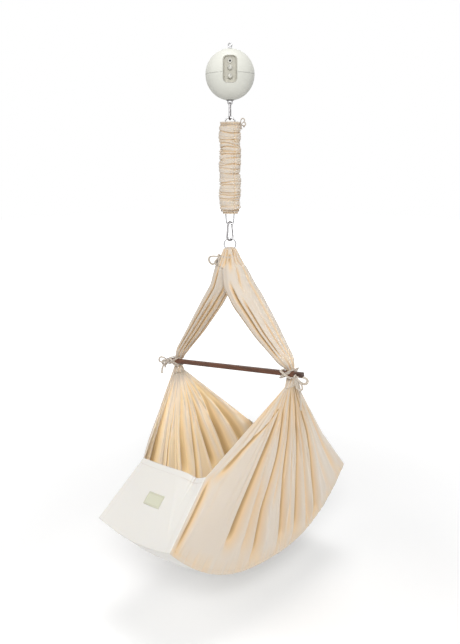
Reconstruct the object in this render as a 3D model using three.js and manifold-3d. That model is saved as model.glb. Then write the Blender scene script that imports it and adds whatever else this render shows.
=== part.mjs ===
// Hanging baby cradle: a motor ball, a spring in a gathered cover, and a cloth sling on a wooden bar.
// Millimetres, +Z up. The origin is under the top of the eye that the whole cradle hangs from.
// +X runs along the spreader bar, -Y is the end with the label patch.
import * as THREE from 'three';
import { mergeVertices } from 'three/addons/utils/BufferGeometryUtils.js';
import Module from 'manifold-3d';

const wasm = await Module();
wasm.setup();

// Clearances
const seat = 0.3;
const linkSeat = 0.55;
const runningGap = 0.5;
const cutOverrun = 4;

// Motor ball
const ballDiameter = 140;
const ballWall = 2.6;
const seamGap = 0.5;
const lipHeight = 3;
const lipWall = 1.6;
const lipRoot = 5;
const panelTurnDegrees = 45;
const ballSegments = 26;
const ballArcSteps = 6;

// Eye bolt, nut and spacer
const eyeWire = 3.6;
const eyeWidth = 17;
const eyeTurnDegrees = -45;
const eyeHeight = 15.4;
const eyeRise = 0.9;
const shankDiameter = 6;
const collarDiameter = 12;
const collarHeight = 1.5;
const shankLength = 28;
const spacerWall = 2.4;
const nutAcrossCorners = 11.5;
const nutHeight = 5;

// Chassis
const chassisWidth = 72;
const chassisTop = 53;
const chassisBottom = -50;
const chassisThickness = 3;
const chassisFront = 6.5;
const flangeWidth = 34;
const flangeReach = 14;

// Control panel
const panelWidth = 40;
const panelTop = 46;
const panelBottom = -28;
const panelCornerRadius = 13;
const panelWall = 1.8;
const panelFloorDepth = 47;
const panelRimRise = 0.6;
const postDiameter = 6;
const postOffsetX = 15;
const upperPostZ = 40;
const lowerPostZ = -25;
const panelScrewDiameter = 2.6;
const panelScrewHead = 5.6;
const panelScrewHeadHeight = 2;
const panelScrewLength = 12;

// Power inlet and knobs
const jackZ = 31;
const jackFlangeDiameter = 13;
const jackFlangeHeight = 1.5;
const jackBarrelDiameter = 8;
const jackBarrelLength = 11;
const jackBoreDiameter = 5.6;
const jackBoreDepth = 9;
const jackPinDiameter = 1.9;
const speedKnobZ = 13.5;
const timerKnobZ = -9.5;
const knobDiameter = 16;
const knobGripDiameter = 12;
const knobSkirtHeight = 2;
const knobHeight = 8;
const knobShaftDiameter = 4.4;
const knobShaftLength = 8;
const knobMarkWidth = 1.4;
const knobMarkRise = 0.8;
const potBushDiameter = 6.4;
const potBodySize = 16;
const potBodyDepth = 6;
const boardWidth = 26;
const boardHeight = 56;
const boardThickness = 1.6;
const boardCentreZ = 6;

// Drive: rack and pinion
const toothModule = 1.5;
const pinionTeeth = 16;
const pressureDegrees = 20;
const backlash = 0.6;
const pinionWidth = 8;
const pinionZ = -5;
const driveShaftDiameter = 6;
const driveShaftReach = 18;
const rackWidth = 10;
const rackBack = 5;
const rackTop = 41;
const rackTeeth = 10;
const rackTeethBottom = -17;
const footDiameter = 19;
const footHeight = 8;
const footRise = 4;
const guideHeight = 10;
const guideWall = 5;
const upperGuideZ = 17;
const lowerGuideZ = -40;
const gearboxDiameter = 37;
const gearboxLength = 15;
const gearboxOffset = 7;
const motorDiameter = 24;
const motorLength = 22;
const bezelWall = 1.8;
const bezelHeight = 7;
const bezelFlange = 2.6;
const bezelFlangeHeight = 2;
const bezelFlangeRise = 4.2;

// Shell screws
const bossX = 44;
const bossY = 22;
const bossDiameter = 11;
const shellScrewDiameter = 3;
const shellScrewHead = 6.4;
const shellScrewHeadHeight = 2.4;
const screwSeatDrop = 38;
const screwReach = 12;

// Output eye
const outputWire = 3.6;
const outputEyeWidth = 16;
const outputEyeDrop = 12;

// Hooks, spring, link and ring
const hookSides = 8;
const upperHook = { length: 50, wire: 5, topRadius: 6, endRadius: 8.5, turnDegrees: 78 };
const lowerHook = { length: 60, wire: 6, topRadius: 8.4, endRadius: 11.5, turnDegrees: 45 };
const gatePivotDrop = 4.5;
const tongueWidth = 4;
const tongueThickness = 1.8;
const gatePinDiameter = 1.8;
const gateWire = 4.2;
const gateEndGap = 0.8;
const noseRise = 4;
const springWire = 4.4;
const springDiameter = 34.4;
const springLength = 279;
const springTurns = 21;
const springCurlSteps = 8;
const springSides = 5;
const springNeck = 17;
const springLoopDegrees = 305;
const springNeckTurn = 0.6;
const coverTopDrop = 13;
const coverBottomRise = 1;
const coverRadius = 31;
const coverInnerRadius = 21;
const coverRipple = 2.6;
const coverRipples = 15;
const coverAround = 12;
const coverCord = 3;
const coverNeckDepth = 4.5;
const coverNeckHeight = 12;
const coverCordDrop = 8;
const linkWire = 4.2;
const linkHeight = 38;
const linkTopWidth = 30;
const linkBottomWidth = 24;
const linkCornerRadius = 5;
const ringWire = 4.2;
const ringDiameter = 39;

// Spreader bar and where the cloth is tied to it
const barLength = 588;
const barSize = 14;
const barEdge = 2.2;
const barTiltDegrees = 7.6;
const barDrop = 361;
const barShiftX = 12;
const barOverhang = 47;

// Cloth gather and upper slings
const gatherTopRise = 8;
const gatherDrop = 44;
const gatherTopRadius = 10;
const gatherHalfX = 42;
const gatherHalfY = 31;
const gatherLobes = 6;
const gatherLobeDepth = 1.6;
const slingTieHalfX = 14;
const slingTieHalfY = 9;
const slingMidHalfX = 44;
const slingMidHalfY = 48;
const slingFolds = 5;
const slingAround = 20;
const slingFoldShare = 0.13;
const slingSideShare = 0.18;
const splitGap = 0.4;
const neckDrop = 40;
const neckHalfY = 24;
const neckHalfX = 8;

// Side walls, floor and mattress
const clothThickness = 2.6;
const neckThickness = 6;
const floorHalfWidth = 165;
const floorHalfLength = 394;
const hemDrop = 782;
const floorSag = 184;
const floorSagPower = 2.5;
const floorTiltDegrees = 4.3;
const sideBow = 12;
const crossSag = 22;
const pleats = 9;
const pleatSteps = 4;
const wallSteps = 7;
const pleatDepth = 13;
const wallBillow = 14;
const pinchStartShare = 0.7;
const pinchRelief = 3.9;
const floorRelief = 12;
const mattressEndGap = 49;
const mattressHalfWidth = 158;
const mattressThickness = 46;
const mattressCrown = 3;
const mattressCornerRadius = 45;
const floorFade = 36;
const floorSteps = 18;
const acrossSteps = 4;
const baseInset = 1.8;
const floorInset = 3.5;

// End panels and label patch
const frontInset = 156;
const frontTopHalfWidth = 141;
const rearInset = 130;
const rearTopHalfWidth = 170;
const panelTopDrop = 627;
const panelTiltShare = 0.85;
const panelHemWidth = 22;
const panelHemThickness = 5;
const panelSag = 5;
const panelLift = 0.95;
const patchWidth = 76;
const patchHeight = 37;
const patchThickness = 1.2;
const patchCentreX = 3;
const patchUp = 119;

// Ties
const tieCord = 4.4;
const tieSteps = 15;
const tieSides = 4;
const bowLoop = 26;
const bowTail = 30;
const bowKnot = 9;
const neckTieDrop = 20;

// Values worked out from the sizes above
const degrees = Math.PI / 180;
const ballRadius = ballDiameter / 2;
const innerRadius = ballRadius - ballWall;
const barTilt = barTiltDegrees * degrees;
const tieHalfSpan = barLength / 2 - barOverhang;
const floorSlope = Math.tan(floorTiltDegrees * degrees);
const mattressHalfLength = floorHalfLength - mattressEndGap;
const ballZ = -(ballRadius + eyeRise + eyeHeight - eyeWire);
const eyeCentreX = (eyeWidth - eyeWire) / 2;
const pinionPitchRadius = toothModule * pinionTeeth / 2;
const rackPitchX = rackBack;
const pinionX = rackPitchX + pinionPitchRadius;
const rackFootBottom = -(ballRadius - footRise);
const outputEyeZ = ballZ - ballRadius - outputEyeDrop + outputWire / 2;
const upperHookZ = outputEyeZ + (outputWire + upperHook.wire) / 2 + linkSeat;
const upperHookEndZ = upperHookZ - upperHook.length + upperHook.wire;
const springRadius = (springDiameter - springWire) / 2;
const springTopZ = upperHookEndZ + (upperHook.wire + springWire) / 2 + linkSeat;
const springBottomZ = springTopZ - springLength + springWire;
const linkTopZ = springBottomZ + (springWire + linkWire) / 2 + linkSeat;
const linkBottomZ = linkTopZ - linkHeight + linkWire;
const lowerHookZ = linkBottomZ + (linkWire + lowerHook.wire) / 2 + linkSeat;
const lowerHookEndZ = lowerHookZ - lowerHook.length + lowerHook.wire;
const ringRadius = (ringDiameter - ringWire) / 2;
const ringTopZ = lowerHookEndZ + (lowerHook.wire + ringWire) / 2 + linkSeat;
const ringCentreZ = ringTopZ - ringRadius;
const ringBottomZ = ringCentreZ - ringRadius;
const gatherTopZ = ringBottomZ + gatherTopRise;
const gatherBottomZ = ringBottomZ - gatherDrop;
const barZ = ringBottomZ - barDrop;
const barY = -(slingTieHalfY + barSize / 2 + seat * 2);
const cornerZ = ringBottomZ - hemDrop;
const coverTopZ = springTopZ - coverTopDrop;
const coverBottomZ = springBottomZ + coverBottomRise;
const sides = [{ name: 'left', sign: -1 }, { name: 'right', sign: 1 }];
const endPanels = [
  { name: 'front_panel', end: -1, innerY: floorHalfLength - frontInset, topHalfWidth: frontTopHalfWidth },
  { name: 'rear_panel', end: 1, innerY: floorHalfLength - rearInset, topHalfWidth: rearTopHalfWidth },
];

// Looks
const finish = (colour, roughness, metalness) => ({ color: colour, roughness, metalness });
const ballPlastic = finish(0xe6e5df, 0.55, 0);
const panelPlastic = finish(0xdedbc9, 0.6, 0);
const whitePlastic = finish(0xf0eee4, 0.5, 0);
const boardGreen = finish(0x2f6b45, 0.6, 0);
const zincSteel = finish(0xb9bcc0, 0.35, 0.9);
const darkSteel = finish(0x6f7276, 0.35, 0.9);
const motorSteel = finish(0x9a9da1, 0.4, 0.9);
const brassGear = finish(0xb9924a, 0.35, 0.9);
const blackPlastic = finish(0x2a2a2c, 0.6, 0);
const cotton = finish(0xf0e4cc, 0.95, 0);
const paleCotton = finish(0xf3f0e8, 0.95, 0);
const patchCotton = finish(0xe2e0cc, 0.95, 0);
const walnut = finish(0x5a3d2b, 0.55, 0);
const kapok = finish(0xe9e2d2, 0.95, 0);

// Closed solids and booleans
function closed(geometry) {
  const clean = geometry.index ? geometry.toNonIndexed() : geometry.clone();
  clean.deleteAttribute('normal');
  clean.deleteAttribute('uv');
  const merged = mergeVertices(clean);
  return signedVolume(merged) < 0 ? flipped(merged) : merged;
}

function signedVolume(geometry) {
  const at = geometry.attributes.position;
  const corner = (i) => new THREE.Vector3().fromBufferAttribute(at, geometry.index.array[i]);
  let total = 0;
  for (let i = 0; i < geometry.index.count; i += 3) {
    total += corner(i).dot(corner(i + 1).cross(corner(i + 2))) / 6;
  }
  return total;
}

function flipped(geometry) {
  const order = Array.from(geometry.index.array);
  for (let i = 0; i < order.length; i += 3) {
    const second = order[i + 1];
    order[i + 1] = order[i + 2];
    order[i + 2] = second;
  }
  geometry.setIndex(order);
  return geometry;
}

function solidOf(geometry) {
  const clean = closed(geometry);
  const vertProperties = Float32Array.from(clean.attributes.position.array);
  const triVerts = Uint32Array.from(clean.index.array);
  return new wasm.Manifold(new wasm.Mesh({ numProp: 3, vertProperties, triVerts }));
}

function geometryOf(solid) {
  const result = solid.getMesh();
  const geometry = new THREE.BufferGeometry();
  geometry.setAttribute('position', new THREE.BufferAttribute(Float32Array.from(result.vertProperties), 3));
  geometry.setIndex(Array.from(result.triVerts));
  return geometry;
}

function joined(...geometries) {
  return geometryOf(geometries.map(solidOf).reduce((whole, next) => whole.add(next)));
}

function cut(geometry, ...cutters) {
  return geometryOf(cutters.map(solidOf).reduce((whole, next) => whole.subtract(next), solidOf(geometry)));
}

function common(first, second) {
  return geometryOf(solidOf(first).intersect(solidOf(second)));
}

function piece(name, geometry, look) {
  const mesh = new THREE.Mesh(closed(geometry), new THREE.MeshStandardMaterial(look));
  mesh.name = name;
  return mesh;
}

// Shapes used by more than one piece
function block(x0, x1, y0, y1, z0, z1) {
  const geometry = new THREE.BoxGeometry(x1 - x0, y1 - y0, z1 - z0);
  return geometry.translate((x0 + x1) / 2, (y0 + y1) / 2, (z0 + z1) / 2);
}

function rodZ(diameter, z0, z1, x, y, segments) {
  const geometry = new THREE.CylinderGeometry(diameter / 2, diameter / 2, z1 - z0, segments);
  return geometry.rotateX(Math.PI / 2).translate(x, y, (z0 + z1) / 2);
}

function rodY(diameter, y0, y1, x, z, segments) {
  const geometry = new THREE.CylinderGeometry(diameter / 2, diameter / 2, y1 - y0, segments);
  return geometry.translate(x, (y0 + y1) / 2, z);
}

function turned(profile, segments) {
  const points = profile.map(([r, z]) => new THREE.Vector2(r, z));
  return new THREE.LatheGeometry(points, segments).rotateX(Math.PI / 2);
}

function facingFront(geometry, x, z) {
  return geometry.rotateX(Math.PI / 2).translate(x, 0, z);
}

function roundSection(radius, count) {
  const shape = new THREE.Shape();
  for (let i = 0; i < count; i += 1) {
    const angle = (i + 0.5) / count * 2 * Math.PI;
    const place = [radius * Math.cos(angle), radius * Math.sin(angle)];
    if (i === 0) shape.moveTo(...place);
    else shape.lineTo(...place);
  }
  shape.closePath();
  return shape;
}

function bentWire(points, wire, count, steps) {
  const route = new THREE.CatmullRomCurve3(points, false, 'centripetal');
  const options = { steps, extrudePath: route, bevelEnabled: false };
  return new THREE.ExtrudeGeometry(roundSection(wire / 2, count), options);
}

function arcPoints(centreX, centreZ, radius, fromDegrees, toDegrees, count) {
  const points = [];
  for (let i = 0; i <= count; i += 1) {
    const angle = (fromDegrees + (toDegrees - fromDegrees) * i / count) * degrees;
    points.push(new THREE.Vector3(centreX + radius * Math.cos(angle), 0, centreZ + radius * Math.sin(angle)));
  }
  return points;
}

// A skin over rings of equal length. Open runs are capped, and a ring of rings closes on itself.
function loft(rings, closes) {
  const count = rings[0].length;
  const vertices = rings.flat().flatMap((p) => [p.x, p.y, p.z]);
  const faces = [];
  const last = closes ? rings.length : rings.length - 1;
  for (let i = 0; i < last; i += 1) {
    const here = i * count;
    const next = (i + 1) % rings.length * count;
    for (let j = 0; j < count; j += 1) {
      const k = (j + 1) % count;
      faces.push(here + j, here + k, next + k, here + j, next + k, next + j);
    }
  }
  if (!closes) {
    [[0, rings[0], 1], [(rings.length - 1) * count, rings.at(-1), -1]].forEach(([start, ring, way]) => {
      const middle = ring.reduce((sum, p) => sum.add(p), new THREE.Vector3()).divideScalar(count);
      const centre = vertices.length / 3;
      vertices.push(middle.x, middle.y, middle.z);
      for (let j = 0; j < count; j += 1) {
        const k = (j + 1) % count;
        faces.push(centre, start + (way > 0 ? k : j), start + (way > 0 ? j : k));
      }
    });
  }
  const geometry = new THREE.BufferGeometry();
  geometry.setAttribute('position', new THREE.Float32BufferAttribute(vertices, 3));
  geometry.setIndex(faces);
  return geometry;
}

// A round tube through many points, with its section carried along without twist.
function tubeThrough(points, wire, count, closes) {
  const total = points.length;
  const direction = (i) => {
    const before = closes ? points[(i + total - 1) % total] : points[Math.max(i - 1, 0)];
    const after = closes ? points[(i + 1) % total] : points[Math.min(i + 1, total - 1)];
    return after.clone().sub(before).normalize();
  };
  let across = new THREE.Vector3(0, 0, 1).cross(direction(0));
  if (across.length() < Math.sin(degrees)) across = new THREE.Vector3(1, 0, 0);
  const frames = [];
  for (let i = 0; i < total; i += 1) {
    const along = direction(i);
    across.sub(along.clone().multiplyScalar(across.dot(along))).normalize();
    frames.push([along, across.clone()]);
  }
  let twist = 0;
  if (closes) {
    const [along, first] = frames[0];
    const back = across.clone().sub(along.clone().multiplyScalar(across.dot(along))).normalize();
    twist = Math.atan2(back.clone().cross(first).dot(along), back.dot(first));
  }
  const rings = frames.map(([along, side], i) => {
    const up = along.clone().cross(side);
    return Array.from({ length: count }, (_, j) => {
      const angle = (j + 0.5) / count * 2 * Math.PI + twist * i / total;
      const reach = side.clone().multiplyScalar(Math.cos(angle)).add(up.clone().multiplyScalar(Math.sin(angle)));
      return points[i].clone().add(reach.multiplyScalar(wire / 2));
    });
  });
  return loft(rings, closes);
}

// A sheet with two faces, each a function of u and v from 0 to 1.
function sheet(stepsU, stepsV, front, back) {
  const vertices = [];
  const faces = [];
  const row = stepsV + 1;
  [front, back].forEach((face) => {
    for (let i = 0; i <= stepsU; i += 1) {
      for (let j = 0; j <= stepsV; j += 1) vertices.push(...face(i / stepsU, j / stepsV).toArray());
    }
  });
  const other = (stepsU + 1) * row;
  const quad = (a, b, c, d) => faces.push(a, b, c, a, c, d);
  for (let i = 0; i < stepsU; i += 1) {
    for (let j = 0; j < stepsV; j += 1) {
      const a = i * row + j;
      quad(a, a + row, a + row + 1, a + 1);
      quad(other + a, other + a + 1, other + a + row + 1, other + a + row);
    }
  }
  for (let i = 0; i < stepsU; i += 1) {
    const low = i * row;
    const high = low + stepsV;
    quad(low, other + low, other + low + row, low + row);
    quad(high, high + row, other + high + row, other + high);
  }
  for (let j = 0; j < stepsV; j += 1) {
    const start = j;
    const end = stepsU * row + j;
    quad(start, start + 1, other + start + 1, other + start);
    quad(end, other + end, other + end + 1, end + 1);
  }
  const geometry = new THREE.BufferGeometry();
  geometry.setAttribute('position', new THREE.Float32BufferAttribute(vertices, 3));
  geometry.setIndex(faces);
  return geometry;
}

const smooth = (x) => {
  const t = Math.min(Math.max(x, 0), 1);
  return t * t * (3 - 2 * t);
};
const mix = (a, b, t) => a + (b - a) * t;

// A value read from a row of [share, value] pairs, with straight runs between them.
function along(pairs, t) {
  const next = pairs.findIndex(([share]) => share >= t);
  if (next <= 0) return pairs[Math.max(next, 0)][1];
  const [[t0, a], [t1, b]] = [pairs[next - 1], pairs[next]];
  return mix(a, b, (t - t0) / (t1 - t0));
}

// Motor ball. Its own frame has its centre at the ball's and the control panel at -Y.
const sphereZ = (radius, r) => Math.sqrt(radius * radius - r * r);

function shellArc(radius, fromR, toZ) {
  const start = Math.acos(fromR / radius);
  const end = Math.asin(toZ / radius);
  return Array.from({ length: ballArcSteps + 1 }, (_, i) => {
    const angle = mix(start, end, i / ballArcSteps);
    return [radius * Math.cos(angle), radius * Math.sin(angle)];
  });
}

function panelOutline(inset) {
  const shape = new THREE.Shape();
  const half = panelWidth / 2 - inset;
  const top = panelTop - inset;
  const bottom = panelBottom + inset;
  const radius = panelCornerRadius - inset;
  shape.moveTo(-half + radius, bottom);
  shape.lineTo(half - radius, bottom);
  shape.absarc(half - radius, bottom + radius, radius, -Math.PI / 2, 0);
  shape.lineTo(half, top - radius);
  shape.absarc(half - radius, top - radius, radius, 0, Math.PI / 2);
  shape.lineTo(-half + radius, top);
  shape.absarc(-half + radius, top - radius, radius, Math.PI / 2, Math.PI);
  shape.lineTo(-half, bottom + radius);
  shape.absarc(-half + radius, bottom + radius, radius, Math.PI, Math.PI * 1.5);
  return shape;
}

function panelPrism(inset, fromY, toY) {
  const options = { depth: toY - fromY, bevelEnabled: false, curveSegments: 3 };
  const geometry = new THREE.ExtrudeGeometry(panelOutline(inset), options);
  return geometry.rotateX(Math.PI / 2).translate(0, toY, 0);
}

function ball(radius) {
  return new THREE.SphereGeometry(radius, ballSegments, ballSegments / 2).rotateX(Math.PI / 2);
}

const bossCentres = [{ name: 'left', x: -bossX }, { name: 'right', x: bossX }];

function boss(x, z0, z1) {
  return common(rodZ(bossDiameter, z0, z1, x, bossY, 12), ball(ballRadius - ballWall / 2));
}

function upperShell() {
  const hole = shankDiameter / 2 + seat;
  const rim = seamGap / 2;
  const outer = shellArc(ballRadius, hole, rim);
  const inner = shellArc(innerRadius, hole, rim).reverse();
  const shell = turned([...outer, ...inner, outer[0]], ballSegments);
  const bosses = bossCentres.map(({ x }) => boss(x, rim, ballRadius));
  const pilot = shellScrewDiameter + seat * 2;
  const holes = bossCentres.map(({ x }) => rodZ(pilot, -rim, screwReach + cutOverrun, x, bossY, 10));
  return cut(joined(shell, ...bosses), panelPrism(0, -ballDiameter, -innerRadius / 2), ...holes);
}

function lowerShell() {
  const hole = footDiameter / 2 + runningGap + bezelWall + seat;
  const rim = seamGap / 2;
  const lipOuter = innerRadius - seat * 1.5;
  const lipInner = lipOuter - lipWall;
  const outer = shellArc(ballRadius, hole, rim).map(([r, z]) => [r, -z]);
  const inner = shellArc(innerRadius, hole, lipRoot + lipHeight).map(([r, z]) => [r, -z]).reverse();
  const lip = [[lipOuter, -rim], [lipOuter, lipHeight], [lipInner, lipHeight], [lipInner, -lipRoot]];
  const shell = turned([...outer, ...lip, ...inner, outer[0]], ballSegments);
  const bosses = bossCentres.map(({ x }) => boss(x, -ballRadius, -rim));
  const clear = shellScrewDiameter + seat * 2;
  const holes = bossCentres.map(({ x }) => rodZ(clear, -ballRadius, cutOverrun, x, bossY, 10));
  const wide = shellScrewHead + seat * 2;
  const sinks = bossCentres.map(({ x }) => rodZ(wide, -ballRadius, -screwSeatDrop, x, bossY, 12));
  return cut(joined(shell, ...bosses), panelPrism(0, -ballDiameter, -innerRadius / 2), ...holes, ...sinks);
}

function shellScrew(x) {
  const top = -screwSeatDrop - seat;
  const head = rodZ(shellScrewHead, top - shellScrewHeadHeight, top, x, bossY, 10);
  const shank = rodZ(shellScrewDiameter, top - shellScrewHeadHeight / 2, screwReach, x, bossY, 8);
  const slot = block(x - shellScrewHead / 8, x + shellScrewHead / 8, bossY - shellScrewHead,
    bossY + shellScrewHead, top - shellScrewHeadHeight * 1.5, top - shellScrewHeadHeight / 2);
  return cut(joined(head, shank), slot);
}

function eyeBolt() {
  const bottom = ballRadius + eyeRise;
  const half = eyeHeight / 2 - eyeWire / 2;
  const middle = bottom + eyeHeight / 2;
  const points = Array.from({ length: 12 }, (_, i) => {
    const angle = i / 12 * 2 * Math.PI;
    return new THREE.Vector3(eyeCentreX * Math.cos(angle), 0, middle + half * Math.sin(angle));
  });
  const loop = tubeThrough(points, eyeWire, hookSides, true).rotateZ(eyeTurnDegrees * degrees);
  const collar = rodZ(collarDiameter, ballRadius + seat, ballRadius + seat + collarHeight, 0, 0, 14);
  const shank = rodZ(shankDiameter, ballRadius - shankLength, bottom + eyeWire / 2, 0, 0, 12);
  return joined(loop, collar, shank);
}

function eyeNut() {
  const top = chassisTop - chassisThickness - seat;
  const nut = rodZ(nutAcrossCorners, top - nutHeight, top, 0, 0, 6);
  return cut(nut, rodZ(shankDiameter + seat * 2, top - nutHeight * 2, top + nutHeight, 0, 0, 12));
}

function eyeSpacer() {
  const inner = shankDiameter / 2 + seat;
  const outer = inner + spacerWall;
  const top = sphereZ(innerRadius * Math.cos(Math.PI / ballSegments), outer) - seat;
  const bottom = chassisTop + seat;
  return turned([[inner, bottom], [outer, bottom], [outer, top], [inner, top], [inner, bottom]], 12);
}

function chassis() {
  const back = chassisFront + chassisThickness;
  const half = chassisWidth / 2;
  const plate = block(-half, half, chassisFront, back, chassisBottom, chassisTop - chassisThickness / 2);
  const flange = block(-flangeWidth / 2, flangeWidth / 2, -flangeReach, back,
    chassisTop - chassisThickness, chassisTop);
  const shaftHole = rodY(driveShaftDiameter + runningGap * 2, 0, back * 2, pinionX, pinionZ, 16);
  const boltHole = rodZ(shankDiameter + seat * 2, 0, chassisTop * 2, 0, 0, 12);
  const screwHoles = [upperPostZ, lowerPostZ].map((z) => {
    return rodY(panelScrewDiameter + seat * 2, 0, back * 2, -postOffsetX, z, 10);
  });
  const outline = ball(innerRadius - runningGap * 2);
  return common(cut(joined(plate, flange), shaftHole, boltHole, ...screwHoles), outline);
}

// Control panel: a cup with its floor set back, cut to the ball's curve, on two posts.
function controlPanel() {
  const floor = -panelFloorDepth;
  const back = floor + panelWall;
  const cup = cut(panelPrism(seat, -ballDiameter, back), panelPrism(seat + panelWall, -ballDiameter * 2, floor));
  const trimmed = common(cup, ball(ballRadius + panelRimRise));
  const posts = [upperPostZ, lowerPostZ].map((z) => {
    return rodY(postDiameter, back - panelWall / 2, chassisFront - seat, -postOffsetX, z, 12);
  });
  const bores = [upperPostZ, lowerPostZ].map((z) => {
    const deep = chassisFront - panelScrewLength;
    return rodY(panelScrewDiameter + seat * 2, deep, chassisFront + cutOverrun, -postOffsetX, z, 10);
  });
  const jackHole = rodY(jackBarrelDiameter + seat * 2, floor - panelWall, 0, 0, jackZ, 16);
  const knobHoles = [speedKnobZ, timerKnobZ].map((z) => {
    return rodY(potBushDiameter + seat * 2, floor - panelWall, back + panelWall, 0, z, 16);
  });
  return cut(joined(trimmed, ...posts), ...bores, jackHole, ...knobHoles);
}

function panelScrew(z) {
  const face = chassisFront + chassisThickness + seat;
  const head = rodY(panelScrewHead, face, face + panelScrewHeadHeight, -postOffsetX, z, 10);
  const tip = chassisFront - panelScrewLength + runningGap;
  return joined(head, rodY(panelScrewDiameter, tip, face + panelScrewHeadHeight / 2, -postOffsetX, z, 8));
}

function powerJack() {
  const face = panelFloorDepth + seat + jackFlangeHeight;
  const end = panelFloorDepth - jackBarrelLength + seat;
  const deep = face - jackBoreDepth;
  const bore = jackBoreDiameter / 2;
  const profile = [[0, end], [jackBarrelDiameter / 2, end], [jackBarrelDiameter / 2, panelFloorDepth + seat],
    [jackFlangeDiameter / 2, panelFloorDepth + seat], [jackFlangeDiameter / 2, face], [bore, face],
    [bore, deep], [jackPinDiameter / 2, deep], [jackPinDiameter / 2, face - jackFlangeHeight],
    [0, face - jackFlangeHeight]];
  return facingFront(turned(profile, 14), 0, jackZ);
}

function knob(z) {
  const base = panelFloorDepth + seat;
  const skirt = base + knobSkirtHeight;
  const top = base + knobHeight;
  const chamfer = knobSkirtHeight / 2;
  const profile = [[0, base - knobShaftLength], [knobShaftDiameter / 2, base - knobShaftLength],
    [knobShaftDiameter / 2, base], [knobDiameter / 2, base], [knobDiameter / 2, skirt],
    [knobGripDiameter / 2, skirt + chamfer], [knobGripDiameter / 2, top - chamfer],
    [knobGripDiameter / 2 - chamfer, top], [0, top]];
  const body = facingFront(turned(profile, 16), 0, z);
  const half = knobMarkWidth / 2;
  const mark = block(-half, half, -top - knobMarkRise, -top + chamfer, z, z + knobGripDiameter / 2 - chamfer);
  return joined(body, mark);
}

function potentiometer(z) {
  const back = -panelFloorDepth + panelWall;
  const half = potBodySize / 2;
  const body = block(-half, half, back + seat, back + seat + potBodyDepth, z - half, z + half);
  const bush = rodY(potBushDiameter, -panelFloorDepth, back + seat * 2, 0, z, 16);
  const shaftEnd = -panelFloorDepth - seat + knobShaftLength + seat;
  const bore = rodY(knobShaftDiameter + seat * 2, -ballRadius, shaftEnd, 0, z, 16);
  return cut(joined(body, bush), bore);
}

function circuitBoard() {
  const face = -panelFloorDepth + panelWall + potBodyDepth + seat * 2;
  const low = boardCentreZ - boardHeight / 2;
  const half = boardWidth / 2;
  const board = block(-half + seat, half, face, face + boardThickness, low, low + boardHeight);
  return cut(board, rodY(jackBarrelDiameter + seat * 2, -ballRadius, 0, 0, jackZ, 12));
}

// Drive
function involute(angle) {
  return Math.tan(angle) - angle;
}

function pinionOutline() {
  const pressure = pressureDegrees * degrees;
  const base = pinionPitchRadius * Math.cos(pressure);
  const root = pinionPitchRadius - toothModule * 1.25;
  const tip = pinionPitchRadius + toothModule * 0.95;
  const halfAtPitch = Math.PI / pinionTeeth / 2 - backlash / 4 / pinionPitchRadius;
  const halfAt = (r) => halfAtPitch + involute(pressure) - involute(Math.acos(Math.min(base / r, 1)));
  const flank = [root, base, mix(base, tip, 0.6), tip];
  const shape = new THREE.Shape();
  for (let i = 0; i < pinionTeeth; i += 1) {
    const centre = Math.PI + i / pinionTeeth * 2 * Math.PI;
    const rising = flank.map((r) => [r, centre - halfAt(Math.max(r, base))]);
    const falling = flank.map((r) => [r, centre + halfAt(Math.max(r, base))]).reverse();
    [...rising, ...falling].forEach(([r, angle], j) => {
      const place = [r * Math.cos(angle), r * Math.sin(angle)];
      if (i === 0 && j === 0) shape.moveTo(...place);
      else shape.lineTo(...place);
    });
  }
  shape.closePath();
  return shape;
}

function drivePinion() {
  const half = pinionWidth / 2;
  const options = { depth: pinionWidth, bevelEnabled: false };
  const gear = new THREE.ExtrudeGeometry(pinionOutline(), options).rotateX(Math.PI / 2);
  gear.translate(pinionX, half, pinionZ);
  const shaft = rodY(driveShaftDiameter, -half - toothModule, driveShaftReach, pinionX, pinionZ, 16);
  return joined(gear, shaft);
}

function rackOutline() {
  const pitch = toothModule * Math.PI;
  const slope = Math.tan(pressureDegrees * degrees);
  const halfAtPitch = pitch / 4 - backlash / 4;
  const tip = rackPitchX + toothModule * 0.95;
  const root = rackPitchX - toothModule * 1.25;
  const halfTip = halfAtPitch - toothModule * 0.95 * slope;
  const halfRoot = halfAtPitch + toothModule * 1.25 * slope;
  const shape = new THREE.Shape();
  const first = Math.round((rackTeethBottom - pinionZ) / pitch);
  shape.moveTo(-rackBack, rackFootBottom + footHeight / 2);
  shape.lineTo(root, rackFootBottom + footHeight / 2);
  for (let i = 0; i < rackTeeth; i += 1) {
    const z = pinionZ + (first + i + 0.5) * pitch;
    shape.lineTo(root, z - halfRoot);
    shape.lineTo(tip, z - halfTip);
    shape.lineTo(tip, z + halfTip);
    shape.lineTo(root, z + halfRoot);
  }
  shape.lineTo(root, rackTop);
  shape.lineTo(-rackBack, rackTop);
  shape.closePath();
  return shape;
}

function driveRack() {
  const options = { depth: rackWidth, bevelEnabled: false };
  const bar = new THREE.ExtrudeGeometry(rackOutline(), options).rotateX(Math.PI / 2);
  bar.translate(0, rackWidth / 2, 0);
  const foot = rodZ(footDiameter, rackFootBottom, rackFootBottom + footHeight, 0, 0, 20);
  const legX = (outputEyeWidth - outputWire) / 2;
  const holes = [-legX, legX].map((x) => {
    const top = rackFootBottom + footHeight + cutOverrun;
    return rodZ(outputWire + seat * 2, rackFootBottom - cutOverrun, top, x, 0, 12);
  });
  return cut(joined(bar, foot), ...holes);
}

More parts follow.
